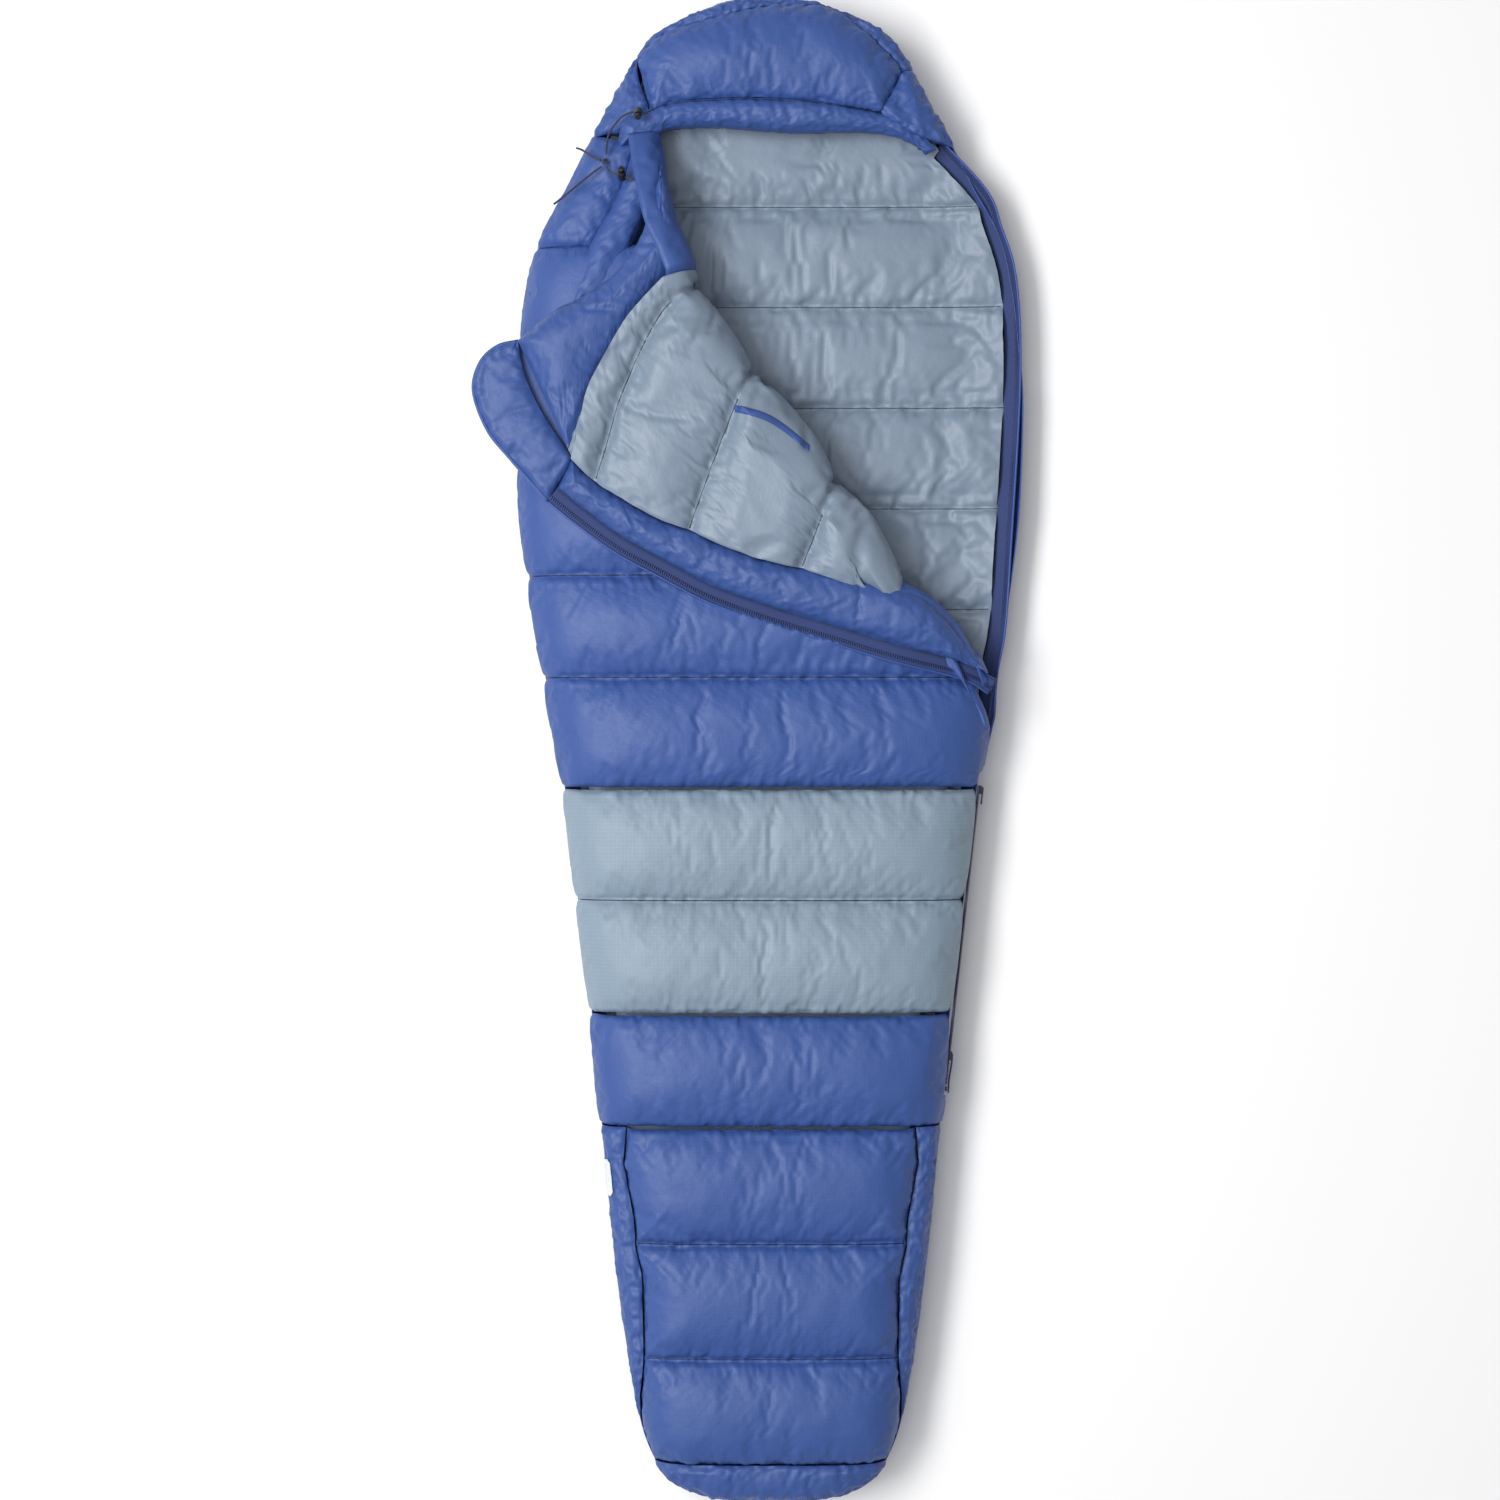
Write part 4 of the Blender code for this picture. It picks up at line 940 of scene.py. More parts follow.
def build_flap_lining():
    """The flap's quilted grey lining, which goes on round the fold."""
    across = 52
    flat = flap_rows(84, across, FOLD_REACH)
    share = np.linspace(1, 0, across)[None, :] + np.zeros(flat.shape[:2])
    grid = np.concatenate([flat, flap_height(flat, share)[..., None]], axis=2)[:, ::-1]
    edge = grid[:, -1]
    left = left_of(edge[:, :2])
    reach = FOLD_REACH * np.clip(np.linspace(0, 1, len(edge)) / 0.16, 0.12, 1.0)
    roll = fold_around(edge[:, :2], left, reach, edge[:, 2])
    grid = np.concatenate([grid, roll[:, 1:]], axis=1)[18:]
    stitched = []
    for line in QUILT_LINES:
        a, b = np.array(line[0]), np.array(line[1])
        away = (a - b) / np.linalg.norm(a - b)
        stitched.append([tuple(a + away * 0.05)] + line)
    grid = quilt(grid, stitched, sizes().flap_loft, 0.050, 61, pressure=2.0, slack=0.024,
                 cap=0.007, pucker=1.3, edges=False,
                 fade=lambda p: np.clip((0.235 - p[..., 0]) / 0.13, 0.05, 1.0))
    fold = 2 * (across - 1)
    piece = padded_piece("flap_lining_pad", grid[:, :fold + 1], "lining", FLAP, "liner_grey", 0.5,
                         FLAP_FLOOR, 0.004, "flap_liner", "flap_wadding_1", "flap_wadding_2",
                         "flap_wadding_3", "flap_wadding_4")
    stitch(piece, stitched, "flap_lining_thread", "grey_thread", "liner_grey", FLAP)
    under = grid[:, fold - 1:].copy()
    under[:, :2, 2] -= 0.0003
    bend_roll("fold_lining_roll", under, "lining")

    foot = [(x + 0.002, y + 0.003) for x, y in TUBE_TOP[:6]]
    neck = [(-0.100, 0.642), (-0.110, 0.666), (-0.124, 0.698), (-0.139, 0.735),
            (-0.151, 0.792), (-0.160, 0.850)]
    for name, line, low, high, sink, deep, seed in (
            ("fold_foot_roll", foot, 0.004, 0.016, 0.0, 0.012, 71),
            ("neck_fold_roll", neck, 0.018, 0.045, 0.062, 0.040, 73)):
        outer = curve(line, steps(length_of(line)))
        left = left_of(outer)
        place = np.linspace(0, 1, len(outer))
        rise = np.clip(place / 0.12, 0, 1)
        outer = outer - left * (0.011 * rise - 0.008)[:, None]
        level = FLAP_FLOOR + low + (high - low) * rise - foot_drop(outer) - sink * place ** 2
        roll = fold_around(outer + left * deep, left, np.full(len(outer), deep), level)
        roll = quilt(roll, [], 0.004, 0.03, seed, slack=0.012, cap=0.004, edges=False,
                     pucker=0.8)
        bend_roll(name, roll, "shell_blue")


def bend_roll(name, grid, colour):
    """A roll of cloth over the fold, between the bag and the flap."""
    piece = sheet_piece(name, grid, finish(colour), thickness=0.0012)
    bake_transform(piece)


def build_fold_crease():
    """The outer shell's crease under the fold."""
    front, flap = curve(FOLD, 80) + left_of(curve(FOLD, 80)) * 0.008, fold_inner(0.024)
    level = [np.full((80, 1), z) for z in CREASE_LEVELS]
    grid = np.stack([np.concatenate([flap, level[1]], axis=1),
                     np.concatenate([front, level[0]], axis=1)], axis=1)
    piece = sheet_piece("fold_shell_crease", grid, finish("shell_blue"), 0.0003)
    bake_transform(piece)


def zip_line(inset):
    """The flap's zip edge, moved inwards on to the flap."""
    line = curve(ZIP_EDGE, 120)
    return line - left_of(line) * inset


def trim_path(line, lift):
    """A line in plan lifted above the flap's underside."""
    return np.concatenate([line, (FLAP_FLOOR + lift - foot_drop(line))[:, None]], axis=1)


def build_flap_edges():
    """Draft tube, zip tape and piping along the flap's zip edge, and the collar at its neck."""
    inner = zip_line(TAPE_WIDE)

    def tube_height(p, t):
        rise = 0.009 * np.clip((p[..., 0] - 0.12) / 0.08, 0, 1)
        return FLAP_FLOOR + 0.0065 + (0.004 + rise) * (1 - t) - foot_drop(p)
    draft = between(TUBE_TOP, inner, 118, 16, tube_height)
    draft = quilt(draft[:, ::-1], [], 0.0200, 0.026, 71, pressure=3.5, slack=0.014, cap=0.006,
                  pucker=0.6, fade=lambda p: np.clip((0.33 - p[..., 0]) / 0.06, 0.30, 1.0))
    padded_piece("zip_draft_tube_pad", draft, "draft_blue", FLAP, "shell_blue", 0.6, FLAP_FLOOR,
                 0.002, "zip_draft_tube")

    tape = between(inner, zip_line(0.0), 200, 5,
                   lambda p, t: FLAP_FLOOR + 0.0050 - 0.002 * t - foot_drop(p))
    tape[..., 2] += noise(cloth_lengths(tape)[1] / 0.05, 0 * tape[..., 0], 9) * 0.0008
    piece = sheet_piece("flap_zip_tape_strip", tape[:, ::-1], finish("navy"), 0.0009)
    place_piece(piece, FLAP, "lining_navy", "flap_zip_tape")
    edge = trim_path(zip_line(-0.0005), 0.0035)
    trim = mesh_tube("flap_zip_piping", edge, PIPING, finish("piping"))
    place_piece(trim, FLAP, "shell_blue")
    coil = trim_path(zip_line(0.0068), 0.0058)
    teeth = coil_teeth("flap_zip_coil", coil, finish("coil"))
    place_piece(teeth, FLAP, "lining_navy")

    seam, neck = curve(COLLAR_SEAM, 60), curve(NECK_EDGE, 60)
    away = (neck - seam) / np.linalg.norm(neck - seam, axis=1, keepdims=True)
    channel = between(seam, seam + away * CHANNEL, 60, 7, lambda p, t: FLAP_FLOOR + 0.022 + 0 * t)
    channel = quilt(channel, [], 0.006, 0.006, 75, cap=0.002, pucker=1.2)
    padded_piece("collar_channel_strip", channel, "lining", FLAP, "liner_grey", 0.4, FLAP_FLOOR,
                 0.001, "collar_channel")

    def collar_height(p, t):
        return FLAP_FLOOR + 0.021 * (1 - t) + 0.010 * t
    collar = between(seam + away * CHANNEL, neck, 64, 22, collar_height)
    collar = quilt(collar, [], 0.025, 0.040, 79, pressure=3.5, slack=0.014, cap=0.008, pucker=0.8,
                   fade=lambda p: np.clip(0.35 + 3.2 * (p[..., 1] - 0.40), 0.45, 1.0))
    padded_piece("draft_collar_pad", collar, "draft_blue", FLAP, "shell_blue", 0.7, FLAP_FLOOR,
                 0.002, "draft_collar")

    def corner_height(p, t):
        return FLAP_FLOOR + 0.009 - 0.005 * t
    corner = between(COLLAR_END, CORNER, 40, 10, corner_height)
    corner = quilt(corner, [], 0.006, 0.014, 83, cap=0.003, pucker=0.9)
    padded_piece("flap_corner_pad", corner, "draft_blue", FLAP, "shell_blue", 0.3, FLAP_FLOOR,
                 0.002, "flap_corner_hem")
    hem = np.concatenate([curve(CORNER, 60), np.full((60, 1), FLAP_FLOOR + 0.0040)], axis=1)
    trim = mesh_tube("corner_binding", hem, 0.0050, finish("shell_blue"))
    place_piece(trim, FLAP, "shell_blue")


def build_flap_shell():
    """The flap's outer shell, face down while the flap is turned back."""
    fold = fold_inner(0.020)[6:]
    edge = np.vstack([zip_line(0.001)[8:], curve(CORNER, 50)[::-1][:36]])
    grid = between(fold, edge, 80, 60, lambda p, t: SHELL_LEVEL - foot_drop(p) * t)
    neck = curve(NECK_EDGE, 60)
    pull = np.clip((np.linspace(0, 1, 80) - 0.5) / 0.5, 0, 1) ** 1.5
    grid[..., :2] += pull[:, None, None] * (neck - grid[-1, :, :2])[None]
    hinge = next(joint for joint in frame["joints"] if joint["name"] == "flap_fold")
    foot, along = np.array(hinge["pos_m"][:2]), np.array(hinge["axis"][:2])
    along = along / np.linalg.norm(along)
    stitched = []
    for y in FRONT_SEAMS[7:] + [0.84]:
        line = []
        for x in (-0.3, 0.0, 0.4):
            off = np.array([x, y]) - foot
            line.append(tuple(foot + 2 * along * (off @ along) - off))
        stitched.append(line)
    gap, run, _ = seam_field(grid, stitched)
    grid[..., 2] += 0.0028 * np.exp(-gap / 0.012)
    puckers = noise(run / 0.009, gap / 0.03, 91) * np.exp(-gap / 0.015) * 0.0008
    grid[..., 2] -= np.abs(puckers)
    piece = sheet_piece("flap_shell_panel", grid, finish("shell_blue"), 0.0008)
    place_piece(piece, FLAP, "shell_blue", "flap_shell")


def build_pocket():
    """The flat inside pocket on the flap's lining, with its bound mouth."""
    under = [bpy.data.objects["flap_lining_pad"], bpy.data.objects["fold_lining_roll"]]
    bpy.context.view_layer.update()

    def on_lining(x, y, lift):
        casts = [piece.ray_cast(Vector((x, y, CAST_FROM)), DOWN) for piece in under]
        return (x, y, max([cast[1].z for cast in casts if cast[0]] or [FLAP_FLOOR]) + lift)
    mouth = curve(POCKET_MOUTH, 60)
    rows = []
    for t in np.linspace(0, 1, 5):
        rows.append([on_lining(x + 0.001 * t, y + 0.0095 * t, 0.0022 - 0.0006 * abs(2 * t - 1))
                     for x, y in mouth])
    piece = sheet_piece("pocket_mouth_binding", np.array(rows), finish("draft_blue"), 0.0016)
    place_piece(piece, FLAP, "shell_blue", "pocket_binding")
    rows = []
    for t in np.linspace(0, 1, 14):
        rows.append([on_lining(x - 0.018 * (1 - t), y - 0.052 * (1 - t), -0.0025)
                     for x, y in mouth])
    piece = sheet_piece("pocket_bag_sheet", np.array(rows), finish("lining"), 0.0008)
    place_piece(piece, FLAP, "liner_grey", "pocket_bag")


# ---- hood -----------------------------------------------------------------------------
def hood_height(points, _=None):
    """Height of the hood at its seams."""
    x, y = points[..., 0], points[..., 1]
    return top_height(x, y, 0.046)


def outline_between(low, high, count, side):
    """The bag's outline on one side, from one place along it to another."""
    ys = np.linspace(low, high, count)
    return np.stack([side * half_width(ys), ys], axis=1)


def build_hood():
    """Crown, edge strip, side panels, brim roll and lining of the hood."""
    crown = between([(-0.165, 0.874), (-0.1265, 0.894), (0.022, 0.897), (0.1515, 0.879)],
                    CROWN_SEAM, 64, 30, hood_height)
    crown = np.swapaxes(crown, 0, 1)
    crown = quilt(crown, [], 0.020, 0.060, 101, pressure=3.5, slack=0.012, cap=0.006,
                  pucker=1.2)
    padded_piece("hood_crown_pad", crown, "shell_blue", ROOT, "shell_blue", 0.6, HOOD_FLOOR, 0.004,
                 "hood_crown")

    rim = np.vstack([outline_between(0.966, 1.037, 24, -1),
                     outline_between(0.938, 1.037, 24, 1)[::-1]])
    strip = between(CROWN_SEAM, rim, 90, 12, hood_height)
    strip = quilt(np.swapaxes(strip, 0, 1), [], 0.008, 0.018, 103, cap=0.004, pucker=1.1)
    padded_piece("hood_edge_panel", strip, "shell_blue", ROOT, "shell_blue", 0.5, SIDE_FLOOR,
                 0.003, "hood_edge_strip")

    left = between(outline_between(0.850, 0.966, 20, -1),
                   [(-0.196, 0.852), (-0.168, 0.874), (-0.182, 0.924), (-0.186, 0.958)],
                   24, 14, hood_height)
    left = quilt(left, [], 0.011, 0.025, 107, cap=0.005, pucker=1.2)
    padded_piece("hood_left_pad", left, "shell_blue", ROOT, "shell_blue", 0.5, SIDE_FLOOR, 0.003,
                 "hood_left_panel")
    right = between([(0.200, 0.848), (0.1515, 0.879), (0.165, 0.9035), (0.181, 0.938)],
                    outline_between(0.835, 0.940, 20, 1), 24, 14, hood_height)
    right = quilt(right, [], 0.009, 0.025, 109, cap=0.005, pucker=1.2)
    padded_piece("hood_right_pad", right, "shell_blue", ROOT, "shell_blue", 0.5, SIDE_FLOOR, 0.003,
                 "hood_right_panel")

    def brim_height(p, t):
        return 0.083 + 0.012 * t - 0.016 * np.clip((p[..., 0] - 0.06) / 0.15, 0, 1)
    brim = between(BRIM_EDGE, BRIM_SEAM, 80, 13, brim_height)
    brim = np.swapaxes(brim, 0, 1)
    brim = quilt(brim, [], 0.018, 0.020, 113, pressure=3.5, slack=0.016, cap=0.006, pucker=0.9)
    piece = padded_piece("hood_brim_pad", brim, "shell_blue", ROOT, "shell_blue", 0.7, HOOD_FLOOR,
                         0.002, "hood_brim_roll")

    channel = np.array(BRIM_SEAM[1:-1])
    stitch(piece, [channel - (0, 0.004)], "hood_channel_thread", "thread", "lining_navy", ROOT)
    inside = between([(-0.150, 0.866), (0.022, 0.868), (0.150, 0.864)],
                     [(-0.150, 0.950), (0.0, 0.995), (0.150, 0.945)], 40, 16,
                     lambda p, t: 0.0680 + 0 * t)
    piece = sheet_piece("hood_lining_sheet", np.swapaxes(inside, 0, 1)[::-1], finish("lining"))
    place_piece(piece, ROOT, "liner_grey", "hood_liner")


def build_shoulder():
    """The left shoulder and neck, which stay down when the flap is turned back."""
    inner = [(-0.247, 0.6955), (-0.212, 0.760), (-0.188, 0.832)]
    outer = outline_between(0.6955, 0.852, 20, -1)

    def level(p, t):
        return top_height(p[..., 0], p[..., 1], 0.047)
    panel = between(outer, inner, 26, 24, level)
    panel = quilt(panel, [], 0.014, 0.06, 121, slack=0.012, cap=0.006, pucker=0.8)
    padded_piece("left_shoulder_pad", panel, "shell_blue", ROOT, "shell_blue", 0.5, HOOD_FLOOR,
                 0.012, "left_shoulder_panel")
    slit = [(-0.216, 0.620), (-0.2015, 0.664), (-0.176, 0.725), (-0.153, 0.785), (-0.158, 0.834)]
    seam = [(-0.293, 0.584), (-0.262, 0.664), (-0.240, 0.712), (-0.212, 0.760), (-0.188, 0.832)]

    def roll_level(p, t):
        return 0.096 + 0.002 * np.cos(t * math.pi) - 0.010 * t
    roll = between(seam, slit, 44, 12, roll_level)
    roll = quilt(roll, [], 0.024, 0.028, 127, pressure=3.5, slack=0.012, cap=0.006, pucker=0.5)
    padded_piece("neck_roll_pad", roll, "shell_blue", ROOT, "shell_blue", 0.7, HOOD_FLOOR, 0.003)


# ---- zip ------------------------------------------------------------------------------
def tube_rings(path, diameter, sides):
    """Points, faces and UVs of a round tube along a path."""
    path = np.asarray(path, float)
    step = np.gradient(path, axis=0)
    step /= np.linalg.norm(step, axis=1, keepdims=True)
    side = np.stack([-step[:, 1], step[:, 0], 0 * step[:, 0]], axis=1)
    side /= np.linalg.norm(side, axis=1, keepdims=True)
    up = np.cross(step, side)
    turn = np.arange(sides) * 2 * math.pi / sides
    ring = (path[:, None] + (side[:, None] * np.cos(turn)[None, :, None]
                             + up[:, None] * np.sin(turn)[None, :, None]) * diameter / 2)
    n = len(path)
    faces = []
    for i in range(n - 1):
        for k in range(sides):
            m = (k + 1) % sides
            faces.append([i * sides + k, i * sides + m, (i + 1) * sides + m, (i + 1) * sides + k])
    faces.append(list(range(sides))[::-1])
    faces.append([(n - 1) * sides + k for k in range(sides)])
    uvs = np.stack([np.tile(turn * diameter / 2, n), np.repeat(distances(path), sides)], axis=1)
    return ring.reshape(-1, 3), faces, uvs


def mesh_tube(name, path, diameter, colour, sides=8):
    """A round trim sewn along an edge, as a closed mesh tube."""
    verts, faces, uvs = tube_rings(path, diameter, sides)
    piece = add_object(name, verts, faces, colour, uvs)
    turn_outwards(piece)
    return piece


def turn_outwards(piece):
    """Point a closed piece's faces outwards."""
    shape = bmesh.new()
    shape.from_mesh(piece.data)
    bmesh.ops.recalc_face_normals(shape, faces=shape.faces)
    shape.to_mesh(piece.data)
    shape.free()


def tapered_blocks(places, across, along, up, size, layers):
    """Points and faces of a small block at each place, narrower towards its top.

    across, along and up are each block's directions, and layers its (height, width) pairs.
    """
    verts, faces = [], []
    for place, side, way, rise in zip(places, across, along, up):
        first = len(verts)
        for height, width in layers:
            for a, b in ((-0.5, -0.5), (0.5, -0.5), (0.5, 0.5), (-0.5, 0.5)):
                verts.append(place + side * a * size[0] * width + way * b * size[1] * width
                             + rise * height)
        for k, m in ((0, 1), (1, 2), (2, 3), (3, 0), (4, 5), (5, 6), (6, 7), (7, 4)):
            faces.append([first + k, first + m, first + 4 + m, first + 4 + k])
        faces.append([first + 3, first + 2, first + 1, first])
        faces.append([first + 8, first + 9, first + 10, first + 11])
    return verts, faces


def coil_teeth(name, path, colour, pitch=0.0032, size=(0.0046, 0.0017, 0.0016)):
    """The row of coil loops of one half of a zip, one small rounded block for each."""
    run = distances(path)
    spots = np.arange(0, run[-1], pitch)
    places = np.stack([np.interp(spots, run, path[:, k]) for k in range(3)], axis=1)
    ways = np.gradient(places, axis=0)
    ways /= np.linalg.norm(ways, axis=1, keepdims=True)
    sides = np.stack([-ways[:, 1], ways[:, 0], 0 * ways[:, 0]], axis=1)
    sides /= np.linalg.norm(sides, axis=1, keepdims=True)
    verts, faces = tapered_blocks(places, sides, ways, np.cross(ways, sides), size[:2],
                                  [(-0.5 * size[2], 1.0), (0.2 * size[2], 1.0),
                                   (0.5 * size[2], 0.62)])
    piece = add_object(name, verts, faces, colour, smooth=False)
    turn_outwards(piece)
    return piece


def build_zip():
    """The open side's zip tape with its piping and coil, and the closed chain below it."""
    line = curve(BACK_TAPE, 160)
    reach = np.clip(0.35 + np.linspace(0, 1, 160) / 0.12, 0.35, 1.0)[:, None]
    out = -left_of(line) * reach
    tape = between(line, line + out * 0.021, 160, 5, lambda p, t: 0.0445 + 0.008 * t)
    tape[..., 2] += noise(cloth_lengths(tape)[1] / 0.045, 0 * tape[..., 0], 19) * 0.0010
    piece = sheet_piece("back_zip_tape_strip", tape, finish("navy"), 0.0009)
    place_piece(piece, ROOT, "lining_navy", "back_zip_tape")
    edge = np.concatenate([line + out * 0.0215, np.full((160, 1), 0.0530)], axis=1)
    trim = mesh_tube("back_zip_piping", edge, PIPING, finish("piping"))
    place_piece(trim, ROOT, "shell_blue")
    coil = np.concatenate([line + out * 0.0150, np.full((160, 1), 0.0515)], axis=1)
    teeth = coil_teeth("back_zip_coil", coil, finish("coil"))
    place_piece(teeth, ROOT, "lining_navy")

    low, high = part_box("closed_zip_chain")
    top = np.array([high.x - 0.0012, high.y, (low.z + high.z) / 2])
    foot = np.array([low.x + 0.0012, low.y, (low.z + high.z) / 2])
    way = (foot - top) / np.linalg.norm(foot - top)
    side, up = np.array([-way[1], way[0], 0.0]), np.array([0, 0, 1.0])
    rows = []
    for t in np.linspace(0, 1, 90):
        place = top * (1 - t) + foot * t
        rows.append([place + up * h - side * 0.0006 for h in np.linspace(-0.012, 0.012, 5)])
    strip = sheet_piece("closed_zip_tape", np.array(rows), finish("navy"), 0.0008)
    place_piece(strip, ROOT, "lining_navy")
    pitch = 0.0026
    spots = np.arange(int(np.linalg.norm(foot - top) / pitch))
    lift = np.where(spots % 2, 0.0006, -0.0006)[:, None]
    places = top + way * ((spots + 0.5) * pitch)[:, None] + up * lift
    ways, ups, sides = ([axis] * len(spots) for axis in (way, up, side))
    verts, faces = tapered_blocks(places, ways, ups, sides, (0.0018, 0.0052),
                                  [(0.0, 1.0), (0.0014, 1.0), (0.0020, 0.6)])
    chain = add_object("closed_zip_teeth", verts, faces, finish("black"), smooth=False)
    turn_outwards(chain)
    place_piece(chain, ROOT, "black_plastic", "closed_zip_chain")


def build_pull_tab():
    """The lower slider's pull: a doubled fabric tab with a rounded end, a little wavy."""
    low, high = [np.array(corner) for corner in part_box("lower_slider_tab")]
    along = np.array([-0.112, -0.994, 0.0]) / math.hypot(0.112, 0.994)
    outward = np.array([-along[1], along[0], 0.0])
    root = np.array([high[0] - 0.0012, high[1] - 0.0006, (low[2] + high[2]) / 2])
    length, width = 0.0550, 0.0100
    place = np.linspace(0, 1, 40)
    wide = width / 2 * np.minimum(1, np.sqrt(np.maximum(1 - ((place - 0.92) / 0.08) ** 2
                                                        * (place > 0.92), 0.16)))
    wave = 0.0005 * np.sin(place * 7.0)
    grid = (root + along * (place * length)[:, None, None] + outward * wave[:, None, None]
            + np.array([0, 0, 1.0]) * (np.linspace(-1, 1, 9)[None] * wide[:, None])[..., None])
    tab = sheet_piece("lower_slider_pull_tab", grid, finish("navy"), thickness=0.0018)
    turn_outwards(tab)
    place_piece(tab, "lower_slider_tab", "lining_navy", "lower_slider_tab")


def build_label():
    """A plain label sewn into the left side seam and lying on the foot gusset."""
    gusset = bpy.data.objects["left_foot_gusset_panel"]
    rows = []
    for y in np.linspace(-0.616, -0.566, 20):
        edge = -float(half_width(y))
        inner = edge + 0.0085 - 0.0035 * max(abs((y + 0.591) / 0.025) - 0.8, 0) / 0.2
        row = [(edge - 0.0016, y, SEAM_Z + 0.003)]
        for x in np.linspace(edge + 0.0012, inner, 7):
            hit, spot, _, _ = gusset.ray_cast(Vector((x, y, CAST_FROM)), DOWN)
            if not hit:
                raise RuntimeError("the label found no gusset below it")
            row.append((x - 0.0012, y, spot.z + 0.0022))
        rows.append(row)
    grid = np.array(rows)
    grid[:, 1:, 2] = np.maximum.accumulate(grid[:, 1:, 2], axis=1)
    label = sheet_piece("side_seam_label", grid, finish("label"), thickness=0.0008)
    turn_outwards(label)
    place_piece(label, ROOT, "label_white", "side_label")


def build_knot():
    """The overhand knot that ties the hood's and the collar's cords together."""
    turn = np.linspace(0, 2 * math.pi, 73)[:-1]
    size = 0.00125
    path = size * np.stack([np.sin(turn) + 2 * np.sin(2 * turn),
                            np.cos(turn) - 2 * np.cos(2 * turn), -1.3 * np.sin(3 * turn)], axis=1)
    tilt = Vector((0.5, 0.3, 0.81)).to_track_quat("Z", "Y")
    turns = [tilt @ Vector(place) + Vector(KNOT_AT) for place in path]
    knot = curve_object("drawcord_knot_turns", turns, 0.0026, finish("cord"))
    knot.data.splines[0].use_cyclic_u = True
    place_piece(knot, ROOT, "cord_dark", "drawcord_knot")


def build_hardware():
    """Sliders, pulls, stop and cord locks, in their real finish."""
    for node in ("main_slider", "main_slider_pull", "lower_slider", "zip_bottom_stop",
                 "hood_cord_lock", "hood_cord_lock_button", "collar_cord_lock",
                 "collar_cord_lock_button"):
        frame["nodes"][node].data.materials.clear()
        frame["nodes"][node].data.materials.append(finish("black"))


# ---- drawcords ------------------------------------------------------------------------
HOOD_CORD = [(-0.172, 0.8725, 0.1215), (-0.182, 0.8725, 0.1215), (-0.192, 0.8720, 0.1212),
             (-0.204, 0.867, 0.1190), (-0.215, 0.856, 0.1150), (-0.2225, 0.844, 0.1110),
             (-0.2255, 0.831, 0.1080), (-0.2265, 0.818, 0.1062)]
TAIL_CORD = [(-0.234, 0.810, 0.1050), (-0.243, 0.814, 0.1020), (-0.252, 0.820, 0.0985),
             (-0.261, 0.8265, 0.0930), (-0.268, 0.830, 0.0870)]
COLLAR_CORD = [(-0.226, 0.800, 0.1060), (-0.221, 0.792, 0.1130), (-0.213, 0.788, 0.1190),
               (-0.204, 0.785, 0.1215), (-0.195, 0.782, 0.1235), (-0.184, 0.779, 0.1240)]
KNOT_AT = (-0.2285, 0.8085, 0.1060)
LOOP_CORD = [(-0.233, 0.801, 0.1055), (-0.246, 0.792, 0.1050), (-0.260, 0.781, 0.1040),
             (-0.275, 0.769, 0.1020), (-0.289, 0.758, 0.0990), (-0.299, 0.751, 0.0960)]


def build_cords():
    """The drawcords of the hood and the collar, laid along their routes."""
    build_knot()
    knot = "drawcord_knot_turns"
    cords = [("hood_drawcord", HOOD_CORD, "knot", [knot, "hood_cord_lock"]),
             ("drawcord_tail", TAIL_CORD, "bare", [knot]),
             ("collar_drawcord", COLLAR_CORD, "object", [knot, "collar_cord_lock"]),
             ("drawcord_loop", LOOP_CORD, "bare", [knot])]
    for name, route, far_end, partners in cords:
        piece = curve_object(name + "_braid", curve(route, 60), sizes().cord_width, finish("cord"))
        piece.data.use_fill_caps = True
        place_piece(piece, ROOT, "cord_dark", name)
        length_of(curve(route, 60))


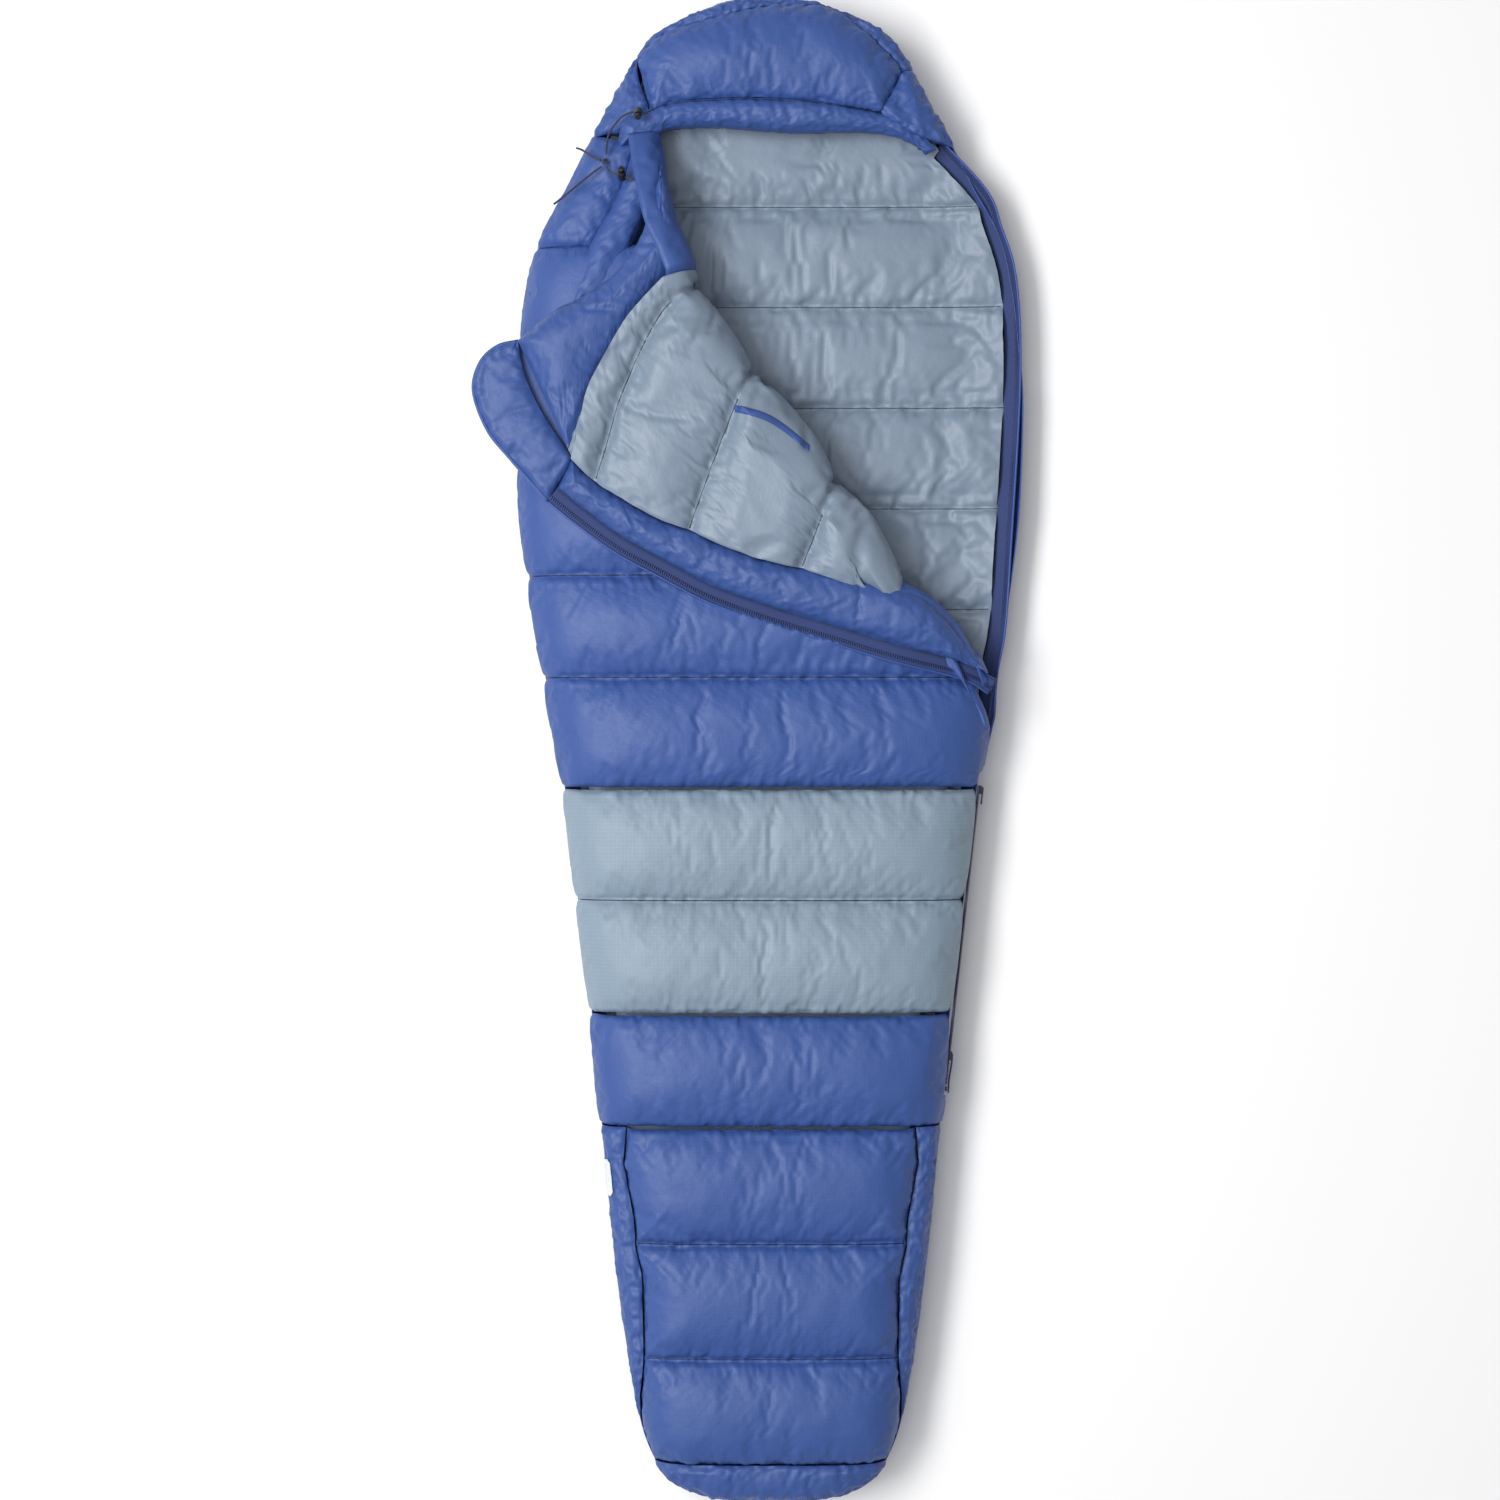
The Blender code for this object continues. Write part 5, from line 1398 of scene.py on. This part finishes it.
# ---- stage ----------------------------------------------------------------------------
def build_stage():
    """A pale floor, soft studio light from the upper left, and the camera overhead."""
    bpy.ops.object.select_all(action="DESELECT")
    bpy.ops.mesh.primitive_plane_add(size=60, location=(0, 0, -0.001))
    floor = bpy.context.object
    floor.name = "studio_floor"
    made, tree, shader = start_material("pale_studio_floor")
    shader.inputs["Base Color"].default_value = (0.92, 0.92, 0.92, 1)
    shader.inputs["Roughness"].default_value = 0.9
    floor.data.materials.append(made)
    daylight = bpy.data.lights.new("daylight", "SUN")
    daylight.energy, daylight.angle = 1.0, 0.9
    sky = bpy.data.objects.new("daylight", daylight)
    sky.rotation_euler = (0.0, -0.5, 0.0)
    bpy.context.scene.collection.objects.link(sky)
    for name, place, width, length, power in (("key", (-1.9, 0.3, 3.2), 1.0, 3.0, 100),
                                              ("top", (0.3, 0.0, 5.0), 2.5, 4.0, 25)):
        lamp = bpy.data.lights.new(name, "AREA")
        lamp.shape = "RECTANGLE"
        lamp.size, lamp.size_y = width, length
        lamp.energy = power
        light = bpy.data.objects.new(name, lamp)
        light.location = place
        light.rotation_euler = (0.0, -math.atan2(-place[0], place[2]), 0.0)
        bpy.context.scene.collection.objects.link(light)
    world = bpy.data.worlds.new("studio")
    world.use_nodes = True
    world.node_tree.nodes["Background"].inputs["Color"].default_value = (1, 1, 1, 1)
    world.node_tree.nodes["Background"].inputs["Strength"].default_value = 0.32
    bpy.context.scene.world = world
    bpy.context.scene.view_settings.view_transform = "Standard"
    lens = bpy.data.cameras.new("overhead")
    lens.lens = 73.5
    lens.sensor_width = 36
    camera = bpy.data.objects.new("overhead", lens)
    camera.location = (-0.029, 0.0, 4.31)
    bpy.context.scene.collection.objects.link(camera)
    bpy.context.scene.camera = camera


# ---- the add-on -----------------------------------------------------------------------
class SLEEPINGBAG_OT_stage(bpy.types.Operator):
    """Set the floor, the lights and the camera"""

    bl_idname = "sleepingbag.stage"
    bl_label = "Stage"

    def execute(self, context):
        build_stage()
        return {"FINISHED"}


class SLEEPINGBAG_OT_cords(bpy.types.Operator):
    """Lay the drawcords and tie their knot"""

    bl_idname = "sleepingbag.cords"
    bl_label = "Drawcords"

    def execute(self, context):
        build_cords()
        return {"FINISHED"}


class SLEEPINGBAG_OT_back(bpy.types.Operator):
    """Sew the back shell and its lining"""

    bl_idname = "sleepingbag.back"
    bl_label = "Back"

    def execute(self, context):
        build_back()
        return {"FINISHED"}


class SLEEPINGBAG_OT_front(bpy.types.Operator):
    """Quilt the front, the foot gussets and the footbox end"""

    bl_idname = "sleepingbag.front"
    bl_label = "Front panels"

    def execute(self, context):
        build_front_panels()
        build_toe()
        build_front_lining()
        return {"FINISHED"}


class SLEEPINGBAG_OT_hood(bpy.types.Operator):
    """Sew the hood and the left shoulder"""

    bl_idname = "sleepingbag.hood"
    bl_label = "Hood"

    def execute(self, context):
        build_hood()
        build_shoulder()
        return {"FINISHED"}


class SLEEPINGBAG_OT_flap(bpy.types.Operator):
    """Sew the flap with its collar, draft tube and pocket"""

    bl_idname = "sleepingbag.flap"
    bl_label = "Turned-back flap"

    def execute(self, context):
        build_flap_lining()
        build_fold_crease()
        build_flap_edges()
        build_flap_shell()
        build_pocket()
        return {"FINISHED"}


class SLEEPINGBAG_OT_zip(bpy.types.Operator):
    """Lay the zip tapes, teeth and piping"""

    bl_idname = "sleepingbag.zip"
    bl_label = "Zip"

    def execute(self, context):
        build_zip()
        return {"FINISHED"}


class SLEEPINGBAG_OT_hardware(bpy.types.Operator):
    """Finish the sliders and locks, the pull tab and the label"""

    bl_idname = "sleepingbag.hardware"
    bl_label = "Hardware"

    def execute(self, context):
        build_hardware()
        build_pull_tab()
        build_label()
        return {"FINISHED"}


OPERATORS = [SLEEPINGBAG_OT_stage, SLEEPINGBAG_OT_cords, SLEEPINGBAG_OT_back, SLEEPINGBAG_OT_front,
             SLEEPINGBAG_OT_hood, SLEEPINGBAG_OT_flap, SLEEPINGBAG_OT_zip,
             SLEEPINGBAG_OT_hardware]


class SLEEPINGBAG_PT_panel(bpy.types.Panel):
    """The sleeping bag's pieces and sizes"""

    bl_idname = "SLEEPINGBAG_PT_panel"
    bl_label = "Sleeping Bag"
    bl_space_type = "VIEW_3D"
    bl_region_type = "UI"
    bl_category = "Sleeping Bag"

    def draw(self, context):
        for group in (context.scene.sleeping_bag_sizes, context.scene.sleeping_bag_colours):
            for name in group.__annotations__:
                self.layout.prop(group, name)
        for made in OPERATORS:
            self.layout.operator(made.bl_idname)


CLASSES = [SleepingBagSizes, SleepingBagColours, *OPERATORS, SLEEPINGBAG_PT_panel]


def register():
    """Register the classes and hang the settings on the scene."""
    for made in CLASSES:
        bpy.utils.register_class(made)
    bpy.types.Scene.sleeping_bag_sizes = PointerProperty(type=SleepingBagSizes)
    bpy.types.Scene.sleeping_bag_colours = PointerProperty(type=SleepingBagColours)


def unregister():
    """Undo register."""
    del bpy.types.Scene.sleeping_bag_colours
    del bpy.types.Scene.sleeping_bag_sizes
    for made in reversed(CLASSES):
        bpy.utils.unregister_class(made)


def main():
    """Build every piece in order."""
    register()
    bpy.ops.sleepingbag.stage()
    bpy.ops.sleepingbag.cords()
    bpy.ops.sleepingbag.back()
    bpy.ops.sleepingbag.front()
    bpy.ops.sleepingbag.hood()
    bpy.ops.sleepingbag.flap()
    bpy.ops.sleepingbag.zip()
    bpy.ops.sleepingbag.hardware()
    bpy.context.view_layer.update()


if __name__ == "__main__":
    main()
